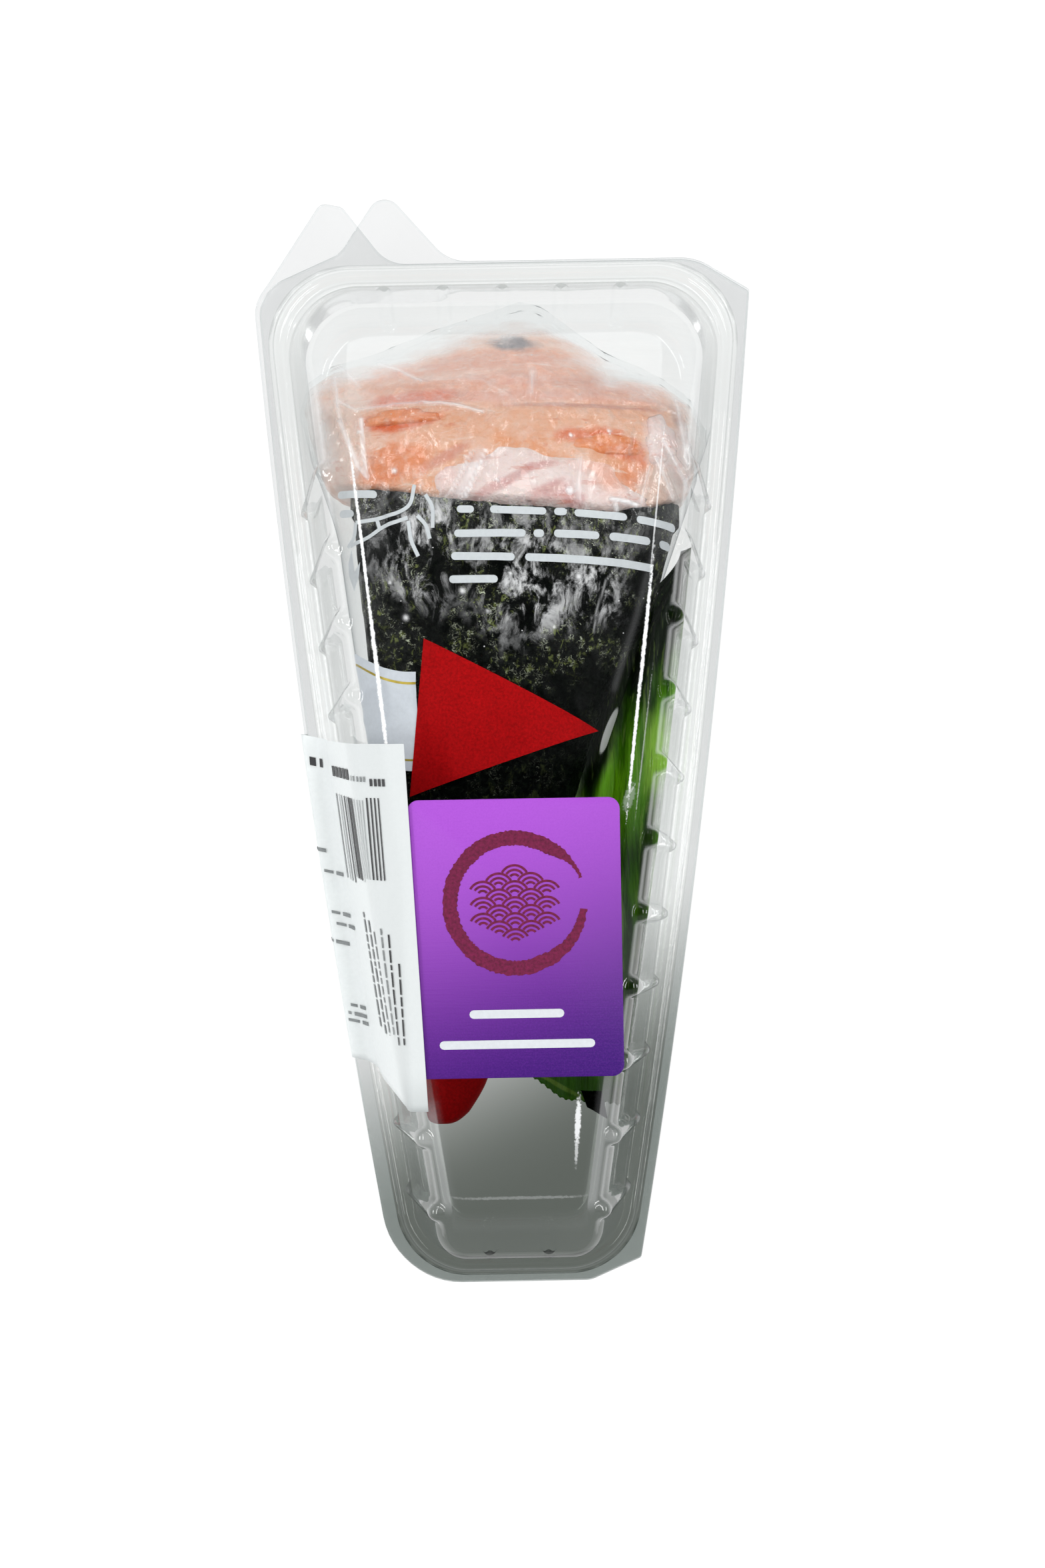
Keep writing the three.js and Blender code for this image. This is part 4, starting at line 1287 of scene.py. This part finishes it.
PEN_WIDTH = 0.75
PEN_LINES = [
    # a few plain strokes in place of the film's drawing
    [(-30.3, 48.9), (-25, 48.9), (-19.5, 50.4), (-18, 54.5)],
    [(-31.6, 44.7), (-27.5, 45.6), (-24.2, 47.2), (-19.5, 48.3)],
    [(-30.3, 48.9), (-30.7, 46.3), (-32.2, 44.6)],
    [(-25.8, 48.8), (-25.2, 46.7)],
    [(-19.4, 47.7), (-18.9, 44), (-17.6, 40.8)],
    [(-17.6, 48.6), (-15.9, 46.5), (-15.2, 43.9)],
    [(-15.9, 52.6), (-14.6, 50), (-14.6, 46)],
]
ARROW = [(-31.4, 44), (-32.3, 41.5), (-32.3, 39.4), (-31.2, 36)]
ARROW += [(-30, 38.6), (-29.6, 41.2), (-30.9, 39.6)]
pictogram = [stroke(curve(line) if len(line) > 2 else line, PEN_WIDTH) for line in PEN_LINES]
printed("print_pictogram", [*pictogram, ARROW], on_film, white_print, "film")


def round_film(across, y, lift):
    """The film's face by its angle round the roll, for a print that wraps over the side."""
    x0, z0, a, b = section(y)
    cx, cz = superellipse(across)
    off = film_wave(x0 + a * cx, y) + lift
    return stacked(x0 + (a + off) * cx, y, z0 + (b + off) * cz)


band_turn = np.linspace(2.1, 3.5, 60)[None]
band_rise = smooth(band_turn, 2.1, 3.1)
band_top, band_low = 19.0 + 5.6 * band_rise, -0.6 + 2.6 * band_rise


def band(name, high, low, lift, material):
    """A strip of print round the film's left side, from y high to y low."""
    down = np.linspace(0, 1, 40)[:, None]
    points = round_film(band_turn + 0 * down, high * (1 - down) + low * down, lift)
    grid_piece(name, points, False, None, material, "film")


band("print_band", band_top, band_low, 0.06, silver_print)
band("print_gold_high", band_top - 2.0, band_top - 2.5, 0.09, gold_print)
band("print_gold_low", band_low + 2.4, band_low + 2.0, 0.09, gold_print)

tip_turn = np.linspace(0, 2 * np.pi, 90, endpoint=False)[None]
tip_rows = spaced((-75.4, -68, 20), (-67, -48, 24))[:, None]
tip_points = round_film(tip_turn + 0 * tip_rows, tip_rows + 0 * tip_turn, 0.1)
grid_piece("print_tip", tip_points, True, None, red_print, "film")

# ---- the sticker ----

STICKER_X, STICKER_Y, STICKER_CORNER = 0.1, -34.2, 2.2
STICKER_HALF_WIDTH, STICKER_HALF_LENGTH = 20.0, 26.2
FLAT_CELL = 60  # larger than the sticker, whose flat print isn't cut


def on_sticker(u, v, lift=0.59):
    """Points on the lid's flat, by their place from the sticker's middle."""
    return stacked(STICKER_X + u, STICKER_Y + v, np.full(len(u), SEAM_Z + LID_FLAT + lift))


layers = []
for inset, lift in ((0.12, 0.3), (0.0, 0.37), (0.0, 0.48), (0.12, 0.55)):
    w, h, r = (size - inset for size in (STICKER_HALF_WIDTH, STICKER_HALF_LENGTH, STICKER_CORNER))
    outline = rounded([(-w, -h, r), (w, -h, r), (w, h, r), (-w, h, r)], (30, 40, 30, 40), 10)
    layers.append(on_sticker(*outline.T, lift))
looks = (sticker_skin, "sticker", ["lid_sticker"])
grid_piece("front_sticker", np.array(layers), True, "both", *looks)


def wave_motif():
    """Overlapping waves in rows, as in the traditional fish-scale pattern, inside an almond."""
    pitch = 6.0
    shapes = []
    for row in range(-5, 6):
        cy = row * pitch / 4
        for col in range(-3, 4):
            cx = (col + (row % 2) / 2) * pitch
            if abs(cx) / 8.9 + (abs(cy) / 6.6) ** 2 > 1.0:
                continue
            for outer, start in ((2.9, 0.52), (2.05, 0.6), (1.2, 0.63)):
                angles = np.linspace(start, math.pi - start, 20)
                rim, hollow = (arc(cx, cy + 5.0, r, angles) for r in (outer, outer - 0.45))
                shapes.append(np.concatenate([rim, hollow[::-1]]))
    return shapes


def brushed_ring(y, radius, steps):
    """A ring as one brush stroke: its width and edges vary, and it thins towards its end."""
    angles = np.linspace(0.35, 2 * math.pi - 0.1, steps)
    share = np.linspace(0, 1, steps)
    width = 2.75 * np.clip(share * 9, 0.25, 1) * (1 - 0.5 * smooth(share, 0.8, 1.0))
    ragged = np.array([random.uniform(-0.16, 0.16) for _ in range(2 * steps)])
    outer = arc(0, y, radius + ragged[:steps], angles)
    inner = arc(0, y, radius - width + ragged[steps:], angles)
    return list(np.stack([inner[:-1], outer[:-1], outer[1:], inner[1:]], 1))


ring = brushed_ring(6.6, 13.6, 220)
printed("sticker_waves", wave_motif() + ring, on_sticker, maroon_print, "sticker", cell=FLAT_CELL)
bars = [pill(-8.9, 8.9, -14.2, 1.6), pill(-14.6, 14.6, -19.9, 1.6)]
printed("sticker_bars", bars, on_sticker, white_print, "sticker", cell=FLAT_CELL)

# ---- the paper seal ----

SEAL_TOP, SEAL_LENGTH, SEAL_OUT = 2.6, 69.0, 0.2


def seal_profile(y, out):
    """The seal's section at y, and the length along it to each point; out lifts it off the pack.

    It runs over the lid, the shoulder, the wall and the flange, and back under the flange's edge.
    """
    wide = half_width(y)
    above = 0.95 + out
    start = -20.2 + 0.049 * (SEAL_TOP - y)
    over = min(-(wide - 14.2), -20.3 - out)
    knots = [
        (start, LID_FLAT + 0.85 + out),
        (over, LID_FLAT + 0.85 + out),
        (min(-(wide - 9 + 1.9 + out), over - 0.4), 26.8 + out),
        (-(wide - 5.2 + 1.9 + out), 14),
        (-(wide + 0.2 + out), 2.2 + out),
        (-(wide + 2.2), above),
        (-(wide + FLANGE_LEFT + 0.2 + out), above),
        (-(wide + FLANGE_LEFT + 0.4 + out), 0),
        (-(wide + FLANGE_LEFT + 0.2 + out), -above),
        (-(wide + 0.8), -above),
    ]
    fillets = (0, 1.6, 2.4, 4, 1.2, 0.8, 0.3, 0.3, 0.3, 0)
    stations = [(x, 0, 0, z, 0, fillet) for (x, z), fillet in zip(knots, fillets)]
    line = profile(stations, step=0.8)[:, [0, 3]]
    steps = np.concatenate([[0], np.cumsum(np.linalg.norm(np.diff(line, axis=0), axis=1))])
    return line, steps


def seal_point(u, v, out):
    """A point of the seal: u mm along its section from the lid's edge, v mm down from its top."""
    u, v = np.broadcast_arrays(np.asarray(u, float), np.asarray(v, float))
    points = []
    for a, b in zip(u.ravel(), v.ravel()):
        y = SEAL_TOP - b + np.interp(a, [3, 10, 34, 44], [0, 0.5, 3.8, 6.1])
        line, steps = seal_profile(y, out)
        x, z = (np.interp(a, steps, line[:, i]) for i in (0, 1))
        points.append((x, y, SEAM_Z + z))
    return np.array(points).reshape(*u.shape, 3)


rows, cols = ((47, 110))
length = seal_profile(-30, 0.1)[1][-1]
u = np.linspace(0, length, cols)[None]
v = np.linspace(0, SEAL_LENGTH, rows)[:, None]
curl = 1.8 * smooth(u, 26, 36) * smooth(v, SEAL_LENGTH - 14, SEAL_LENGTH)
face = seal_point(u, v - curl * (v / SEAL_LENGTH), SEAL_OUT)
face[..., 2] += 0.08 * wave(face, 18, 4.0, 2)
both = np.concatenate([face, (face - [0, 0, 0.16])[::-1]])
grid_piece("paper_seal", both, False, None, paper, "paper", ["seal_label"])


def on_seal(u, v):
    return seal_point(u, v, SEAL_OUT + 0.14) + [0, 0, 0.02]


def box(u0, u1, v0, v1):
    return [(u0, v0), (u1, v0), (u1, v1), (u0, v1)]


# bars as (how far along the seal's section from its edge on the lid, width)
BARS = [(5.85, 0.28), (6.65, 0.32), (7.5, 0.34), (8.4, 0.38)]
BARS += [(15.2, 0.9), (16.9, 0.8), (18.6, 1.2), (23.2, 0.8)]
FAINT_BARS = [(9.6, 0.16), (10.4, 0.16), (11.3, 0.22), (13.0, 0.4)]
FAINT_BARS += [(21.2, 0.6), (26.2, 0.7), (28.6, 0.5), (31.6, 0.8)]


def bar(u, wide):
    return box(u, u + wide, 10.2 + (u > 9) * 0.5, 25.8 + (u > 12) * 0.9 + (u > 22) * 1.4)


stripes = [bar(u, w) for u, w in BARS]
stripes += [box(u, u + 0.62, 6.6, 8.0) for u in (4.2, 5.1, 6.0, 7.0)]
stripes += [box(u, u + 2.7, 5.1, 7.2) for u in (15.6, 19.3, 23.0, 26.7, 30.4)]
stripes += [box(u, u + w, 4.4, 6.2) for u, w in ((38.7, 0.7), (40.2, 1.3))]
WORD_GAP = 0.4
TEXT_LINES = [
    # how far in from the edge, the width of its strokes, and where it starts and ends
    (3.8, 0.42, 41.3, 56.8), (5.9, 0.42, 36.0, 57.0), (7.8, 0.46, 35.0, 55.3),
    (11.2, 0.9, 36.0, 56.2), (15.0, 1.4, 34.5, 56.8), (19.4, 1.4, 33.5, 56.4),
]
WALL_ROWS = [
    # how far down the seal a short row of print lies, and where it starts and ends
    (23.4, 39.3, 43.6), (27.7, 35.6, 40.0), (36.2, 34.8, 39.2), (38.5, 33.0, 38.4),
    (42.4, 36.0, 42.0), (55.4, 33.6, 37.2), (57.2, 33.6, 41.6), (58.7, 33.4, 38.0),
]
faint = [bar(u, w) for u, w in FAINT_BARS]
faint += [box(u, u + 0.45, 6.2, 7.2) for u in (8.6, 9.4, 10.3, 11.6, 13.0)]
for u, wide, start, end in TEXT_LINES:
    at = start
    while at < end:
        run = random.uniform(0.9, 3.2)
        (stripes if u < 7 else faint).append(box(u, u + wide, at, min(at + run, end)))
        at += run + WORD_GAP
for v0, start, end in WALL_ROWS:
    middle = start + random.uniform(0.4, 0.6) * (end - start)
    faint += [box(start, middle - 0.3, v0, v0 + 0.8), box(middle + 0.3, end, v0 + 0.1, v0 + 0.7)]
printed("seal_stripes", stripes, on_seal, ink, "paper", cell=3)
printed("seal_lines", faint, on_seal, grey_ink, "paper", cell=3)

# ---- floor, light and camera ----


def floor():
    n = Nodes("floor_white")
    speck = n.noise(0.02, 2, 0.5)
    shade = n.ramp(speck, (0.3, (0.19, 0.19, 0.19, 1)), (0.7, (0.21, 0.21, 0.21, 1)))
    glow = n.new("ShaderNodeEmission", Color=(1, 1, 1, 1), Strength=0.86).outputs[0]
    both = n.new("ShaderNodeAddShader", _0=n.shader("Diffuse", Color=shade), _1=glow)
    material = n.done(both.outputs[0])
    data = bpy.data.meshes.new("floor")
    data.from_pydata([(-3, -3, 0), (3, -3, 0), (3, 3, 0), (-3, 3, 0)], [], [(0, 1, 2, 3)])
    data.materials.append(material)
    plane = placed("floor", data)
    plane.location.z = -0.3 * MM


floor()


def area_light(name, place, target, size, power):
    data = bpy.data.lights.new(name, "AREA")
    data.shape = "RECTANGLE"
    data.size, data.size_y = size
    data.energy = power
    lamp = placed(name, data)
    lamp.location = place
    lamp.rotation_euler = (Vector(target) - Vector(place)).to_track_quat("-Z", "Y").to_euler()


for side in (-1, 1):
    area_light("side_softbox", (0.80 * side, -0.06, 0.60), (0.0, -0.06, 0.04), (0.58, 0.12), 3.0)
    area_light("high_softbox", (0.42 * side, 0.02, 1.10), (0.0, 0.02, 0.03), (0.90, 0.12), 3.9)
    area_light("spark", (0.50 * side, 0.70, 0.85), (0.0, 0.06, 0.03), (0.04, 0.04), 0.3)
area_light("back_softbox", (0.0, 0.70, 0.60), (0.0, 0.06, 0.03), (0.60, 0.30), 0.8)

world = bpy.data.worlds.new("studio")
world.use_nodes = True
sky = world.node_tree
towards = sky.nodes.new("ShaderNodeTexCoord").outputs["Generated"]
split = sky.nodes.new("ShaderNodeSeparateXYZ")
sky.links.new(towards, split.inputs[0])
overhead = sky.nodes.new("ShaderNodeMapRange")
overhead.interpolation_type = "SMOOTHSTEP"
for key, value in (("From Min", 0.70), ("From Max", 0.93), ("To Min", 0.55), ("To Max", 0.03)):
    overhead.inputs[key].default_value = value
sky.links.new(split.outputs["Z"], overhead.inputs["Value"])
sky.nodes["Background"].inputs["Color"].default_value = (0.94, 0.96, 1.0, 1)
sky.links.new(overhead.outputs["Result"], sky.nodes["Background"].inputs["Strength"])
scene.world = world
scene.view_settings.view_transform = "Standard"

# the photo's size and the pixel straight under the camera, its pixels per mm at the seam, and mm
PHOTO_WIDTH, PHOTO_HEIGHT, UNDER_X, UNDER_Y = 1568, 2352, 755.4, 1333
PIXELS, DISTANCE, SENSOR = 7.0873, 270, 36
camera_data = bpy.data.cameras.new("camera")
camera_data.lens = PIXELS * DISTANCE / PHOTO_HEIGHT * SENSOR
camera_data.sensor_width = SENSOR
camera_data.shift_x = (PHOTO_WIDTH / 2 - UNDER_X) / PHOTO_HEIGHT
camera_data.shift_y = (UNDER_Y - PHOTO_HEIGHT / 2) / PHOTO_HEIGHT
camera_data.clip_start = 0.01
camera = placed("camera", camera_data)
camera.location = (-0.0020, -0.02487, (SEAM_Z + DISTANCE) * MM)
camera.rotation_euler = (0, 0, math.radians(-1.032))
bpy.context.scene.camera = camera
